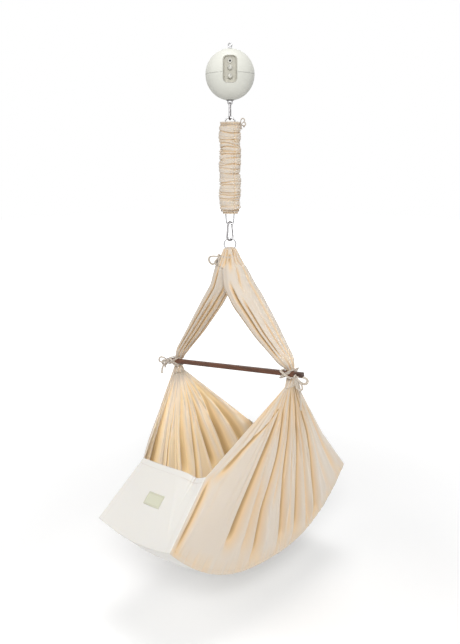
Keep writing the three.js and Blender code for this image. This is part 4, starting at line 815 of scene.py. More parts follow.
def sheet_shape(points, thickness):
    """A closed sheet of cloth over a table of points, with a rounded rim, and the rim's places in the table.

    Its second face lies along the normals.
    """
    rows, columns = points.shape[:2]
    half = sheet_normals(points) * (thickness / 2)[..., None]
    first, faces = grid(points - half)
    second, _ = grid(points + half)
    count = rows * columns
    inner = np.pad(points, ((1, 1), (1, 1), (0, 0)), mode="reflect")
    away = points - (inner[:-2, 1:-1] + inner[2:, 1:-1] + inner[1:-1, :-2] + inner[1:-1, 2:]) / 4
    lengths = np.linalg.norm(away, axis=2)
    away = away / np.maximum(lengths, 1e-9)[..., None]
    border = list(range(columns)) + [r * columns + columns - 1 for r in range(1, rows)]
    border += [(rows - 1) * columns + i for i in range(columns - 2, -1, -1)]
    border += [r * columns for r in range(rows - 2, 0, -1)]
    rim = (points + away * (thickness * 0.4)[..., None]).reshape(-1, 3)[border]
    faces = [face[::-1] for face in faces] + [tuple(i + count for i in face) for face in faces]
    around = len(border)
    for k in range(around):
        n = (k + 1) % around
        faces.append((border[k], border[n], 2 * count + n, 2 * count + k))
        faces.append((2 * count + k, 2 * count + n, border[n] + count, border[k] + count))
    return (np.concatenate([first, second, rim]), faces), border


def sheet_piece(name, points, finish, first_shade, second_shade, cloth, hems=(), hem_width=None):
    """A cloth sheet whose named edges are turned and sewn: left and right sides, head and foot ends."""
    wide = hem_width or cloth.hem_width
    from_edge = edge_distances(points)
    turned, seam = (np.zeros(points.shape[:2]) for _ in range(2))
    for hem in hems:
        turned = np.maximum(turned, 1 - smoothstep(wide * 0.86, wide, from_edge[hem]))
        seam = np.maximum(seam, swell(from_edge[hem], wide * SEAM_SHARE, SEAM_GROOVE))
    thickness = cloth.thickness * (1 + 1.1 * turned - 0.7 * seam)
    shape, border = sheet_shape(points, thickness)
    # Painted shade in the groove along each hem's seam, on both faces.
    first = np.clip(first_shade + 0.25 * seam, 0, 1).ravel()
    second = np.clip(second_shade + 0.25 * seam * np.sign(second_shade), -1, 1).ravel()
    shades = np.concatenate([first, second, (first[border] + second[border]) / 2])
    return outward(make(name, shape, finish, shades))


def panel_frame(end):
    """The foot of an end panel, the way up it, the way out of its face and its length."""
    foot = np.array([0.0, end * FLOOR_HALF_LENGTH, CORNER_Z])
    head = np.array([0.0, end * panel_inner_y(end), RING_BOTTOM - END_PANELS[end]["drop"]])
    up = head - foot
    out = np.array([0.0, end * up[2], -end * up[1]])
    return foot, up, out / np.linalg.norm(out), np.linalg.norm(up)


# End panels: how far the free top edge sags, where its corners dip, and how far the panel bulges
TOP_SAG = 0.004
CORNER_DIP_PLACE, CORNER_DIP_WIDTH = 0.80, 0.26
PANEL_BULGE = 0.006


def panel_surface(end, across, up_share, lift):
    """Points on an end panel, lifted off its plane, over across (-1 to 1) and up_share (0 to 1)."""
    foot, up, out, _ = panel_frame(end)
    x = mixed(FLOOR_HALF_WIDTH, END_PANELS[end]["top"], up_share) * across
    points = foot + up * up_share[..., None]
    points[..., 0] = x
    tilt = math.tan(BAR_TILT) * PANEL_TILT_SHARE
    points[..., 2] += mixed(x * FLOOR_SLOPE - cross_sag(across), x * tilt, up_share)
    free = 1 - across ** 8
    corner = across if end < 0 else np.abs(across)
    dip = TOP_SAG * (1 - across ** 2)
    dip = dip + END_PANELS[end]["corner_dip"] * swell(corner, CORNER_DIP_PLACE, CORNER_DIP_WIDTH)
    points[..., 2] -= dip * free * smoothstep(0.55, 1.0, up_share)
    bulge = PANEL_BULGE * np.cos(across * math.pi / 2) * np.sin(math.pi * 0.9 * up_share)
    return points + out * (lift + bulge)[..., None]


def panel_wrinkles(across, up_share, seed):
    """Heights of shallow tension wrinkles from the panel's corners, and small gathers under its top edge."""
    rng = np.random.default_rng(seed)
    height = np.zeros_like(across)
    for corner_x, corner_up in ((-1, 0), (1, 0), (-1, 1), (1, 1)):
        for _ in range(5):
            dx, du = across - corner_x * rng.uniform(0.85, 1.0), up_share - corner_up * rng.uniform(0.9, 1.0)
            reach = np.hypot(dx, du)
            bearing = np.arctan2(du, dx * corner_x * -1)
            centre = rng.uniform(-1.2, 1.2)
            height += rng.uniform(-1, 1) * swell(bearing, centre, 0.09) * np.exp(-reach / 0.45) * reach * 3
    for _ in range(7):
        place, wide, fall = rng.uniform(0.55, 0.98), rng.uniform(0.012, 0.026), rng.uniform(0.10, 0.30)
        height -= 1.3 * swell(across, place, wide) * np.exp(-(1 - up_share) / fall)
    return height


# Camera, in millimetres of lens and metres: it looks from the label's side, slightly down
LENS, SENSOR = 38.3, 36.0
CAMERA_DISTANCE = 2.047
CAMERA_BELOW_BALL = 0.235
CAMERA_PITCH = math.radians(13.3)

# Lamps: place, what each is aimed at, size, power and spread
LAMPS = {
    "key": ((2.8, -2.8, 1.4), (0.0, 0.0, -1.0), 1.6, 128.0, math.pi),
    "fill": ((-3.0, -3.6, 2.2), (0.0, 0.0, -0.6), 2.4, 42.0, math.pi),
    "overhead": ((0.2, -0.2, 3.2), (0.0, 0.0, -1.0), 1.8, 64.0, math.pi),
    "side": ((2.4, 2.2, -1.0), (0.15, 0.15, -1.15), 0.8, 1.5, math.radians(40)),
}
WORLD_LIGHT = 0.40

# Ground below the cradle, with a glow that leaves the shadow under the cradle and turns white beyond it
GROUND_HALF = 14.0
GROUND_Z = -1.72
GROUND_COLOUR = (0.92, 0.92, 0.92)
NEAR_GLOW = (0.08, 0.08, 0.08)
GLOW_START, GLOW_RISE = 1.9, 0.5


class CRADLE_OT_stage(bpy.types.Operator):
    """Camera, soft studio light and a pale floor with the cradle's shadow"""

    bl_idname = "cradle.stage"
    bl_label = "Stage"

    def execute(self, context):
        scene = context.scene
        scene.view_settings.view_transform = "Standard"
        lens = bpy.data.cameras.new("camera")
        lens.lens = LENS
        lens.sensor_width = SENSOR
        camera = bpy.data.objects.new("camera", lens)
        camera.location = (CAMERA_DISTANCE * math.sin(PANEL_TURN), -CAMERA_DISTANCE * math.cos(PANEL_TURN),
                           BALL_Z - CAMERA_BELOW_BALL)
        camera.rotation_euler = (math.pi / 2 - CAMERA_PITCH, 0.0, PANEL_TURN)
        scene.collection.objects.link(camera)
        scene.camera = camera
        for name, lamp in LAMPS.items():
            self.lamp(scene, name, *lamp)
        self.world(scene)
        self.ground(scene)
        return {"FINISHED"}

    def lamp(self, scene, name, place, target, size, power, spread):
        light = bpy.data.lights.new(name, "AREA")
        light.size = size
        light.spread = spread
        light.energy = power
        lamp = bpy.data.objects.new(name, light)
        lamp.location = place
        x, y, z = np.array(target) - np.array(place)
        lamp.rotation_euler = (math.atan2(math.hypot(x, y), -z), 0.0, math.atan2(y, x) - math.pi / 2)
        scene.collection.objects.link(lamp)

    def world(self, scene):
        """Even light from all round, which the camera and glossy rays see as white."""
        world = bpy.data.worlds.new("studio")
        nodes = Nodes(world)
        camera_ray, glossy_ray = (nodes.node("ShaderNodeLightPath", {}, {}, ray)
                                  for ray in ("Is Camera Ray", "Is Glossy Ray"))
        seen = nodes.node("ShaderNodeMath", {"operation": "MAXIMUM"}, {0: camera_ray, 1: glossy_ray})
        light, backdrop = (nodes.node("ShaderNodeBackground", {}, {"Color": WHITE, "Strength": strength})
                           for strength in (WORLD_LIGHT, 1.0))
        both = nodes.node("ShaderNodeMixShader", {}, {0: seen, 1: light, 2: backdrop})
        nodes.node("ShaderNodeOutputWorld", {}, {"Surface": both})
        scene.world = world

    def ground(self, scene):
        corners = [(x * GROUND_HALF, y * GROUND_HALF, GROUND_Z) for x, y in ((-1, -1), (1, -1), (1, 1), (-1, 1))]
        finish = Finish("floor_white")
        seen = finish.node("ShaderNodeLightPath", {}, {}, "Is Camera Ray")
        away = finish.node("ShaderNodeVectorMath", {"operation": "LENGTH"}, {"Vector": finish.place()}, "Value")
        glow = finish.mix(((away - GLOW_START) * GLOW_RISE).clamped(), NEAR_GLOW, WHITE)
        white = finish.shade(base=GROUND_COLOUR, roughness=0.9, specular=0.0,
                             emission=finish.mix(seen, (0.0, 0.0, 0.0), glow), emission_strength=1.0)
        mesh = bpy.data.meshes.new("floor")
        mesh.from_pydata(corners, [], [(0, 1, 2, 3)])
        mesh.materials.append(white)
        floor = bpy.data.objects.new("floor", mesh)
        scene.collection.objects.link(floor)


# Motor ball. The recess is laid out in the ball's own frame, with its face toward -Y.
RECESS_HALF_WIDTH = 0.0197
RECESS_TOP, RECESS_BOTTOM = 0.0457, -0.0277
RECESS_CORNER = 0.0127
RECESS_FLOOR = 0.047
RECESS_WALL = 0.0018
CUTTER_ROOM = 0.0003
CUTTER_FRONT, CUTTER_BACK = -0.09, -0.03
SHELL_WALL = 0.0026
SEAM_GAP = 0.0007
SHELL_EDGE = 0.0007
SHELL_STEPS, SHELL_SIDES = 40, 144
FITTING_GAP = 0.0003
JACK_Z = 0.031

# Radius of the holes in the shells, for the eye bolt above and the output below
SHELL_HOLES = {1: 0.0035, -1: 0.0120}

# Height of each knob, and the turn of its mark in degrees
KNOB_PLACES = {"speed_knob": (0.0135, 24.0), "timer_knob": (-0.0095, -38.0)}

# The control panel's rings, as inset and depth: behind the recess's floor, over the ball's curve, and the
# fillet down to the floor
PANEL_BACK = ((RECESS_WALL, RECESS_WALL), (0.0004, RECESS_WALL), (0.0, 0.0005))
PANEL_RIM = ((0.0, -0.0006), (0.0002, 0.0001), (0.0006, 0.0005), (0.0010, 0.0006), (0.0014, 0.0004),
             (0.0018, -0.0003), (0.0021, -0.0012))
PANEL_DRAFT = 0.0024
PANEL_FILLET = ((0.0027, 0.0022), (0.0030, 0.0011), (0.0036, 0.0004), (0.0044, 0.0))


def recess_outline(inset, steps=10):
    """Points round the control panel's outline, as (x, z) in the ball's own frame."""
    half, radius = RECESS_HALF_WIDTH - inset, RECESS_CORNER - inset
    top, bottom = RECESS_TOP - inset, RECESS_BOTTOM + inset
    centres = [(half - radius, bottom + radius, -90), (half - radius, top - radius, 0),
               (-half + radius, top - radius, 90), (-half + radius, bottom + radius, 180)]
    points = []
    for (x, z, start), (next_x, next_z, next_start) in zip(centres, centres[1:] + centres[:1]):
        for i in range(steps + 1):
            angle = math.radians(start + 90 * i / steps)
            points.append((x + radius * math.cos(angle), z + radius * math.sin(angle)))
        x, z, turn = next_x, next_z, math.radians(next_start)
        there = (x + radius * math.cos(turn), z + radius * math.sin(turn))
        here = points[-1]
        points.extend((mixed(here[0], there[0], i / steps), mixed(here[1], there[1], i / steps))
                      for i in range(1, steps))
    return np.array(points)


def on_ball(outline, radius):
    """The depth (Y) of the ball's surface under each outline point."""
    return -np.sqrt(radius ** 2 - outline[:, 0] ** 2 - outline[:, 1] ** 2)


def recess_ring(inset, depth):
    """The recess's outline as a ring, at a depth that is one value or one for each of its points."""
    outline = recess_outline(inset)
    return np.column_stack([outline[:, 0], np.broadcast_to(depth, len(outline)), outline[:, 1]])


def shell_half(name, sign):
    """Half of the ball's skin with its inner face, a rounded seam edge and the recess cut out."""
    profile = []
    for radius in (BALL_RADIUS, BALL_RADIUS - SHELL_WALL):
        ends = [math.acos(SHELL_HOLES[sign] / radius), math.asin(SEAM_GAP / 2 / radius)]
        if profile:
            ends.reverse()
        profile += [(radius * math.cos(a), sign * (radius * math.sin(a))) for a in np.linspace(*ends, SHELL_STEPS)]
    shell = outward(make(name, merged_ring(turned_rings(profile, SHELL_SIDES)), "ball"))
    prism = capped(np.array([recess_ring(-CUTTER_ROOM, depth) for depth in (CUTTER_FRONT, CUTTER_BACK)]))
    cutter = outward(make("recess_cutter", prism, "ball", smooth=False))
    with_modifier(shell, "BOOLEAN", object=cutter, operation="DIFFERENCE", solver="EXACT")
    bpy.data.objects.remove(cutter)
    with_modifier(shell, "BEVEL", width=SHELL_EDGE, segments=3, limit_method="ANGLE",
                  angle_limit=math.radians(35), harden_normals=False)
    turn = turned_about_z((np.array([v.co for v in shell.data.vertices]), []), PANEL_TURN, BALL_Z)[0]
    shell.data.vertices.foreach_set("co", turn.ravel())
    return shell


def control_panel():
    """A cup set into the ball: a rounded rim on the ball's curve, drafted walls and a filleted floor."""
    rings = [recess_ring(inset, -RECESS_FLOOR + rise) for inset, rise in PANEL_BACK]
    rim = on_ball(recess_outline(0.0), BALL_RADIUS)
    rings.append(recess_ring(0.0, np.minimum(rim * 0.5 + -RECESS_FLOOR * 0.5, -RECESS_FLOOR)))
    for inset, rise in PANEL_RIM:
        rings.append(recess_ring(inset, on_ball(recess_outline(inset), BALL_RADIUS + rise)))
    rim = on_ball(recess_outline(PANEL_DRAFT), BALL_RADIUS)
    for share in (0.35, 0.7):
        rings.append(recess_ring(PANEL_DRAFT, mixed(rim, -RECESS_FLOOR, share)))
    for inset, rise in PANEL_FILLET:
        rings.append(recess_ring(inset, -RECESS_FLOOR - rise))
    return capped(np.array(rings))


def power_inlet():
    """A round inlet: flange with a rolled edge, dark bore and centre pin."""
    face = FITTING_GAP + 0.0015
    profile = [(0.0008, FITTING_GAP), (0.0063, FITTING_GAP), (0.0065, 0.0006), (0.0065, face - 0.0006),
               (0.0061, face - 0.0001), (0.0056, face), (0.0034, face), (0.0030, face - 0.0003),
               (0.0028, face - 0.0012), (0.0028, 0.0007), (0.0008, 0.0007)]
    return revolved(profile, 48)


def at_recess(shape, z):
    """Puts a shape made about Z on the recess's floor, facing out of the ball."""
    points, faces = shape
    facing = np.stack([points[:, 0], -points[:, 2], points[:, 1]], 1)
    return turned_about_z((facing + np.array([0.0, -RECESS_FLOOR, z]), faces), PANEL_TURN, BALL_Z)


def knob_shape():
    """A knob: skirt, waisted grip with flutes, and a flat cap."""
    profile = [(0.0076, FITTING_GAP), (0.0080, 0.0007), (0.0080, 0.0017), (0.0076, 0.0022), (0.0066, 0.0027),
               (0.0062, 0.0034), (0.0060, 0.0066), (0.0057, 0.0076), (0.0048, 0.0082)]
    sides, flutes, flute_depth = 96, 16, 0.00035
    grip_foot, grip_head = 0.0028, 0.0078
    angles = round_angles(sides)
    rings = []
    for r, z in profile:
        gripped = flute_depth if grip_foot < z < grip_head else 0.0
        radii = r - gripped * (0.5 + 0.5 * np.cos(flutes * angles)) ** 2
        rings.append(np.column_stack([radii * np.cos(angles), radii * np.sin(angles), np.full(sides, z)]))
    return capped(np.array(rings))


class CRADLE_OT_motor_ball(bpy.types.Operator):
    """Ball housing in two shells, with its recessed control panel, inlet and knobs"""

    bl_idname = "cradle.motor_ball"
    bl_label = "Motor ball"

    def execute(self, context):
        for name, sign, node in (("ball_upper", 1, "upper_shell"), ("ball_lower", -1, "lower_shell")):
            seated(shell_half(name, sign), "motor_housing", "ball_plastic", node)
        panel = turned_about_z(control_panel(), PANEL_TURN, BALL_Z)
        fitted("panel_cup", panel, "recess", "motor_housing", "panel_plastic", "control_panel")
        inlet = at_recess(power_inlet(), JACK_Z)
        fitted("inlet", inlet, "inlet", "motor_housing", "white_plastic", "power_jack")
        bore = revolved([(0.0004, 0.0008), (0.0027, 0.0008), (0.0027, 0.0010), (0.0004, 0.0010)], 32)
        pin = revolved([(0.0002, 0.0010), (0.0009, 0.0010), (0.0009, 0.0015), (0.0002, 0.0017)], 20)
        fitted("inlet_bore", at_recess(joined(bore, pin), JACK_Z), "ink", "motor_housing", "black_plastic")
        for name, (z, angle) in KNOB_PLACES.items():
            self.knob(name, z, math.radians(angle))
        return {"FINISHED"}

    def knob(self, name, z, angle):
        fitted(name + "_cap", at_recess(knob_shape(), z), "inlet", name, "white_plastic", name)
        route = [(0.0, 0.0012, 0.00835), (0.0, 0.0030, 0.00845), (0.0, 0.0048, 0.0082)]
        mark = turned_about_z(tube(smooth_route(route, 4), 0.00055, 10, flatness=0.5), angle)
        fitted(name + "_mark", at_recess(mark, z), "ink", name, "black_plastic")


# Steel chain
def oval(centre_z, across, up, count):
    """Points round an upright oval, from its half width and half height."""
    angles = round_angles(count)
    return np.column_stack([across * np.cos(angles), np.zeros(count), centre_z + up * np.sin(angles)])


def arc(centre_x, centre_z, radius, start, end, count):
    """Points along an upright arc, between two angles in degrees."""
    angles = np.radians(np.linspace(start, end, count))
    x, z = centre_x + radius * np.cos(angles), centre_z + radius * np.sin(angles)
    return np.column_stack([x, np.zeros(count), z])


# Snap hooks: lengths, radii of the crown ("top") and the bowl ("end"), and their turn in degrees
HOOKS = {
    "upper_hook": {"length": 0.050, "wire": 0.005, "top": 0.0060, "end": 0.0085, "turn": 45 + 78},
    "lower_hook": {"length": 0.060, "wire": 0.006, "top": 0.0084, "end": 0.0115, "turn": 90},
}
GATE_DROP = 0.0045
NOSE_RISE = 0.004
WIRE_SIDES = 20


def hook_route(hook):
    """The hook's wire in its own X-Z plane, from the gate's pivot over the top and round to the nose."""
    top, end, drop = hook["top"], hook["end"], -hook["length"] + hook["wire"]
    start = np.array([[top, 0, -top - GATE_DROP + hook["wire"] / 2]])
    crown = arc(0, -top, top, 0, 180, 24)
    bowl = arc(0, drop + end, end, 180, 360, 28)
    tip = np.array([[end, 0, drop + end + NOSE_RISE]])
    spine = np.linspace(crown[-1], bowl[0], 12)[1:-1]
    return np.concatenate([start, crown, spine, bowl, tip])


class CRADLE_OT_steel_chain(bpy.types.Operator):
    """Eye bolt, output eye, snap hooks, link and ring"""

    bl_idname = "cradle.steel_chain"
    bl_label = "Steel chain"

    def execute(self, context):
        self.eye_bolt()
        self.output_eye()
        for prefix, hook in HOOKS.items():
            self.hook(prefix, hook)
        self.link()
        self.ring()
        return {"FINISHED"}

    def eye_bolt(self):
        wire, width, height = 0.0036, 0.017, 0.0154
        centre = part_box("eye_bolt")[1].z - height / 2
        loop = tube(oval(centre, (width - wire) / 2, (height - wire) / 2, 64), wire / 2, WIRE_SIDES, True)
        foot = BALL_Z + BALL_RADIUS + FITTING_GAP
        collar = ((0.0002, 0.0), (0.0058, 0.0), (0.0060, 0.0003), (0.0060, 0.0011), (0.0055, 0.0015),
                  (0.0034, 0.0018), (0.0030, 0.0030), (0.0002, 0.0034))
        shank = ((0.0002, -0.027), (0.0026, -0.027), (0.0029, -0.0265), (0.0029, 0.001), (0.0002, 0.001))
        collar, shank = (revolved([(r, foot + z) for r, z in profile], sides)
                         for profile, sides in ((collar, 40), (shank, 32)))
        fitted("eye_loop", joined(loop, collar, shank), "zinc", "motor_housing", "zinc_steel", "eye_bolt")

    def output_eye(self):
        low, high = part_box("output_eye")
        wire, width = 0.0036, 0.016
        half = (width - wire) / 2
        bottom = low.z + wire / 2
        legs = np.linspace((-half, 0, high.z), (-half, 0, bottom + half), 14)
        bowl = arc(0, bottom + half, half, 180, 360, 32)
        route = np.concatenate([legs, bowl[1:-1], legs[::-1] * np.array([-1, 1, 1])])
        loop = turned_about_z(tube(route, wire / 2, WIRE_SIDES), PANEL_TURN)
        fitted("output_loop", loop, "steel", "drive", "dark_steel", "output_eye")
        bottom, top = (corner.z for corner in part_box("output_bezel"))
        inner, outer, inner_edge, outer_edge = 0.0100, 0.0118, 0.0004, 0.0006
        profile = [(inner, bottom + inner_edge), (inner + inner_edge, bottom), (outer - outer_edge, bottom),
                   (outer, bottom + outer_edge), (outer, top), (inner, top)]
        ring = merged_ring(turned_rings(profile, 64))
        fitted("bezel_ring", ring, "black", "motor_housing", "black_plastic", "output_bezel")

    def hook(self, prefix, hook):
        """A snap hook's body with a tongue for its pin, its gate between two cheeks, and the pin."""
        top_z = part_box(prefix + "_body")[1].z - hook["wire"] / 2
        turn = math.radians(hook["turn"])
        flat_up = (0, 1, 0)

        def placed(*shapes):
            return turned_about_z(joined(*shapes), turn, top_z)

        route = hook_route(hook)
        radii = np.full(len(route), hook["wire"] / 2)
        radii[-3:] *= (1.04, 1.0, 0.86)
        wire = tube(route, radii, 22)
        pivot = np.array([hook["top"], 0, -hook["top"] - GATE_DROP])
        tongue = tube(np.linspace(pivot + [0, 0, -0.0019], pivot + [0, 0, 0.004], 6),
                      (0.0012, 0.0019, 0.002, 0.002, 0.002, 0.0022), 16, flatness=0.46, up=flat_up)
        fitted(prefix + "_wire", placed(wire, tongue), "steel", prefix, "dark_steel", prefix + "_body")
        nose = np.array([hook["end"], 0, -hook["length"] + hook["wire"] + hook["end"] + NOSE_RISE])
        toward = (nose - pivot) / np.linalg.norm(nose - pivot)
        start, end = pivot - toward * 0.0012, nose - toward * 0.0007
        cheeks = []
        for side in (-1, 1):
            offset = np.array([0, side * 0.00165, 0])
            rail = np.linspace(start + offset, mixed(start, end, 0.3) + offset * 0.6, 8)
            cheeks.append(tube(rail, np.linspace(0.0016, 0.0014, 8), 14, flatness=0.32, up=flat_up))
        thickness = np.concatenate([[0.0012, 0.0019], np.full(18, 0.0021), [0.0019, 0.0014]])
        shaft = tube(np.linspace(mixed(start, end, 0.24), end, len(thickness)), thickness, WIRE_SIDES)
        gate = placed(shaft, *cheeks)
        fitted(prefix + "_latch", gate, "steel", prefix.replace("_hook", "_gate"), "dark_steel", prefix + "_gate")
        pin = tube(np.linspace(pivot + [0, -0.0024, 0], pivot + [0, 0.0024, 0], 7),
                   (0.0005, 0.0012, 0.0009, 0.0009, 0.0009, 0.0012, 0.0005), 16)
        fitted(prefix + "_rivet", placed(pin), "zinc", prefix, "zinc_steel", prefix + "_pin")

    def link(self):
        """A four-sided loop of wire, wider at its top, with rounded corners and a weld."""
        low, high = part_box("trapezoid_link")
        wire, top_width, bottom_width, corner = 0.0042, 0.030, 0.024, 0.005
        top, bottom = (top_width - wire) / 2, (bottom_width - wire) / 2
        top_z, bottom_z = high.z - wire / 2, low.z + wire / 2
        corners = [np.array([x, 0, z]) for x, z in ((top, top_z), (-top, top_z), (-bottom, bottom_z),
                                                    (bottom, bottom_z))]
        route = []
        for i, here in enumerate(corners):
            before, after = corners[i - 1] - here, corners[(i + 1) % 4] - here
            start = here + before / np.linalg.norm(before) * corner
            end = here + after / np.linalg.norm(after) * corner
            for t in np.linspace(0, 1, 9):
                route.append((1 - t) ** 2 * start + 2 * t * (1 - t) * here + t ** 2 * end)
            following_start = corners[(i + 1) % 4] - after / np.linalg.norm(after) * corner
            route.extend(np.linspace(end, following_start, 10)[1:-1])
        route = np.array(route)
        weld = swell(np.arange(len(route)), len(route) * 0.62, 1.6)
        loop = turned_about_z(tube(route, wire / 2 * (1 + 0.13 * weld), WIRE_SIDES, True), PANEL_TURN)
        fitted("link_loop", loop, "zinc", "link", "zinc_steel", "trapezoid_link")

    def ring(self):
        steps, weld_at = 96, 60
        route = oval((RING_LOW.z + RING_HIGH.z) / 2, RING_RADIUS, RING_RADIUS, steps)
        weld = swell(np.arange(steps), weld_at, 1.4)
        loop = turned_about_z(tube(route, RING_WIRE / 2 * (1 + 0.12 * weld), WIRE_SIDES, True), PANEL_TURN)
        fitted("steel_ring", loop, "zinc", "cradle", "zinc_steel", "hang_ring")


# Spring and its cover. Each of the cover's two cords lies in a groove near its end.
COVER_RADIUS = 0.0315
COVER_CLOTH = 0.0016
COVER_LEAST_RADIUS = 0.0182
COVER_AROUND, COVER_ALONG = 160, 420
CORD_FROM_END = 0.008
CORD_RADIUS = 0.0013
CORD_GROOVE, CORD_GROOVE_WIDTH = 0.0048, 0.0042
CORD_SEAT = 0.0302 - CORD_GROOVE + 0.0017
SEAM_ANGLE = math.radians(-18)


class CRADLE_OT_spring(bpy.types.Operator):
    """Long extension spring with an end loop at each end, and its gathered cloth cover"""

    bl_idname = "cradle.spring"
    bl_label = "Spring and cover"

    def execute(self, context):
        coil = outward(make("coil_spring", turned_about_z(self.coil(), PANEL_TURN), "zinc"))
        self.bend(coil, "zinc_steel", "spring")
        points, valley = self.cover(context.scene.cradle_cloth)
        sleeve = outward(make("spring_sleeve", merged_ring(points), "cotton", valley))
        self.bend(sleeve, "cotton", "spring_cover")
        self.cords()
        return {"FINISHED"}

    def bend(self, piece, slot, node):
        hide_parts(node)
        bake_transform(piece)

    def coil(self):
        """A loop in one plane at the top, the close coil, and a loop across that plane at the foot."""
        wire, radius, turns, neck, sweep = 0.0044, 0.015, 21, 0.017, 0.6
        top, bottom = SPRING_TOP - wire / 2, SPRING_BOTTOM + wire / 2
        top_centre, bottom_centre = top - radius, bottom + radius
        body_top, body_bottom = top_centre - neck, bottom_centre + neck
        route = []

        def add(turn, z):
            route.append((radius * math.cos(turn), radius * math.sin(turn), z))

        for angle in np.radians(np.linspace(-125, 180, 40)):
            route.append((-radius * math.cos(angle + math.pi), 0.0, top_centre + radius * math.sin(angle)))
        for t in np.linspace(0, 1, 9)[1:-1]:
            add(math.pi + t * t * sweep, mixed(top_centre, body_top, t))
        start = math.pi + sweep
        end = start + (turns + 0.25) * 2 * math.pi - 2 * sweep
        for t in np.linspace(0, 1, turns * 22 + 1):
            add(mixed(start, end, t), mixed(body_top, body_bottom, t))
        for t in np.linspace(1, 0, 9)[1:-1]:
            add(math.pi * 1.5 - t * t * sweep, mixed(bottom_centre, body_bottom, t))
        for angle in np.radians(np.linspace(180, 485, 40)):
            route.append((0.0, radius * math.cos(angle), bottom_centre + radius * math.sin(angle)))
        return tube(route, wire / 2, 14)

    def cover(self, cloth):
        """A sleeve of cloth in crosswise wrinkles, with a ruffle over each cord and a seam down one side."""
        angle, down = np.meshgrid(round_angles(COVER_AROUND), np.linspace(0, 1, COVER_ALONG))
        length = COVER_TOP - COVER_BOTTOM
        from_seam = turn_apart(angle, SEAM_ANGLE)
        rng = np.random.default_rng(5)
        places = np.cumsum(rng.uniform(0.5, 1.5, cloth.cover_wrinkles))
        places = 0.06 + 0.9 * places / places[-1]
        creases = np.zeros_like(down)
        for place in places:
            tilt, wave, lean = rng.uniform(-0.012, 0.012), rng.uniform(0, 2 * math.pi), rng.uniform(0.003, 0.009)
            reach = rng.uniform(0.6, 2.8)
            off_angle = turn_apart(angle, rng.uniform(0, 2 * math.pi))
            strength = 0.35 + 0.65 * np.exp(-(off_angle / reach) ** 4)
            path = place + lean * np.sin(angle + wave) + tilt * np.sin(2 * angle + wave * 2)
            creases = creases + rng.uniform(0.5, 1.0) * strength * swell(down, path, 0.0066)
        fine = np.zeros_like(down)
        for _ in range(cloth.cover_wrinkles):
            place, centre_angle = rng.uniform(0.05, 0.95), rng.uniform(0, 2 * math.pi)
            off_angle = turn_apart(angle, centre_angle)
            path = place + rng.uniform(-0.02, 0.02) * np.sin(angle - centre_angle)
            fine = fine + swell(down, path, 0.005) * swell(off_angle, 0, rng.uniform(0.3, 0.9))
        creases = np.clip(creases, 0, 1.2)
        fine = np.clip(fine, 0, 1)
        cord, near_ends = (sum(swell(from_end, place, width) for from_end in (down * length, (1 - down) * length))
                           for place, width in ((CORD_FROM_END, CORD_GROOVE_WIDTH), (0, 0.011)))
        ruffle = np.cos(angle * 13 + 2 * np.sin(angle * 3)) * near_ends
        bulge = (0.0012 * np.sin(down * 19 + 1.3 * np.sin(angle))
                 + 0.0010 * np.sin(down * 41 + 2 * np.sin(angle * 2 + 1)))
        radius = COVER_RADIUS + bulge - 0.0052 * creases - 0.0022 * fine - CORD_GROOVE * cord + 0.0010 * ruffle
        radius = radius - 0.0016 * swell(from_seam, 0, 0.07) * (1 - cord)
        taper = smoothstep(0.925, 1.0, down) ** 1.5 * 0.0085 + (1 - smoothstep(0.0, 0.05, down)) * 0.0030
        radius = radius - taper
        inner_radius = np.maximum(radius - COVER_CLOTH, COVER_LEAST_RADIUS)
        outer, inner = (np.stack([r * np.cos(angle), r * np.sin(angle), COVER_TOP - down * length], -1)
                        for r in (radius, inner_radius))
        # Painted shade: a little over the whole sleeve, more in its creases, the cord grooves and along the seam,
        # and a steady amount on its inside.
        valley = 0.10 + creases * 0.80 + fine * 0.35 + 0.6 * cord + 0.35 * swell(from_seam, 0, 0.05)
        valley = np.clip(valley, 0, 1) * 0.85
        return np.concatenate([outer, inner[::-1]]), np.concatenate([valley, np.full_like(valley, 0.6)])

    def cords(self):
        """The drawstring with its bow, which rides on the spring's head, and the plain cord at its foot."""
        bow = bow_shape(0.0046, ((0.009, 0.000, 0.017, 0.005), (0.015, -0.003, 0.003, 0.005)),
                        ((0.010, 0.002, 0.006), (0.004, -0.005, 0.012)))
        bow = turned_about_z(bow, math.radians(-12))
        top, bottom = COVER_TOP - CORD_FROM_END, COVER_BOTTOM + CORD_FROM_END
        for name, height, bows, body, node in (
                ("sleeve_drawstring", top, [moved(bow, (CORD_SEAT + 0.003, 0.0, top))], "spring_upper", "cover_tie"),
                ("sleeve_cord", bottom, [], "spring_foot", "cover_cord")):
            angles = round_angles(72)
            radius = CORD_SEAT + 0.0005 * np.sin(5 * angles)
            route = np.column_stack([radius * np.cos(angles), radius * np.sin(angles),
                                     height + 0.0008 * np.sin(3 * angles)])
            cord = turned_about_z(joined(tube(route, CORD_RADIUS, 10, True), *bows), PANEL_TURN)
            fitted(name, cord, "cord", body, "cotton", node)


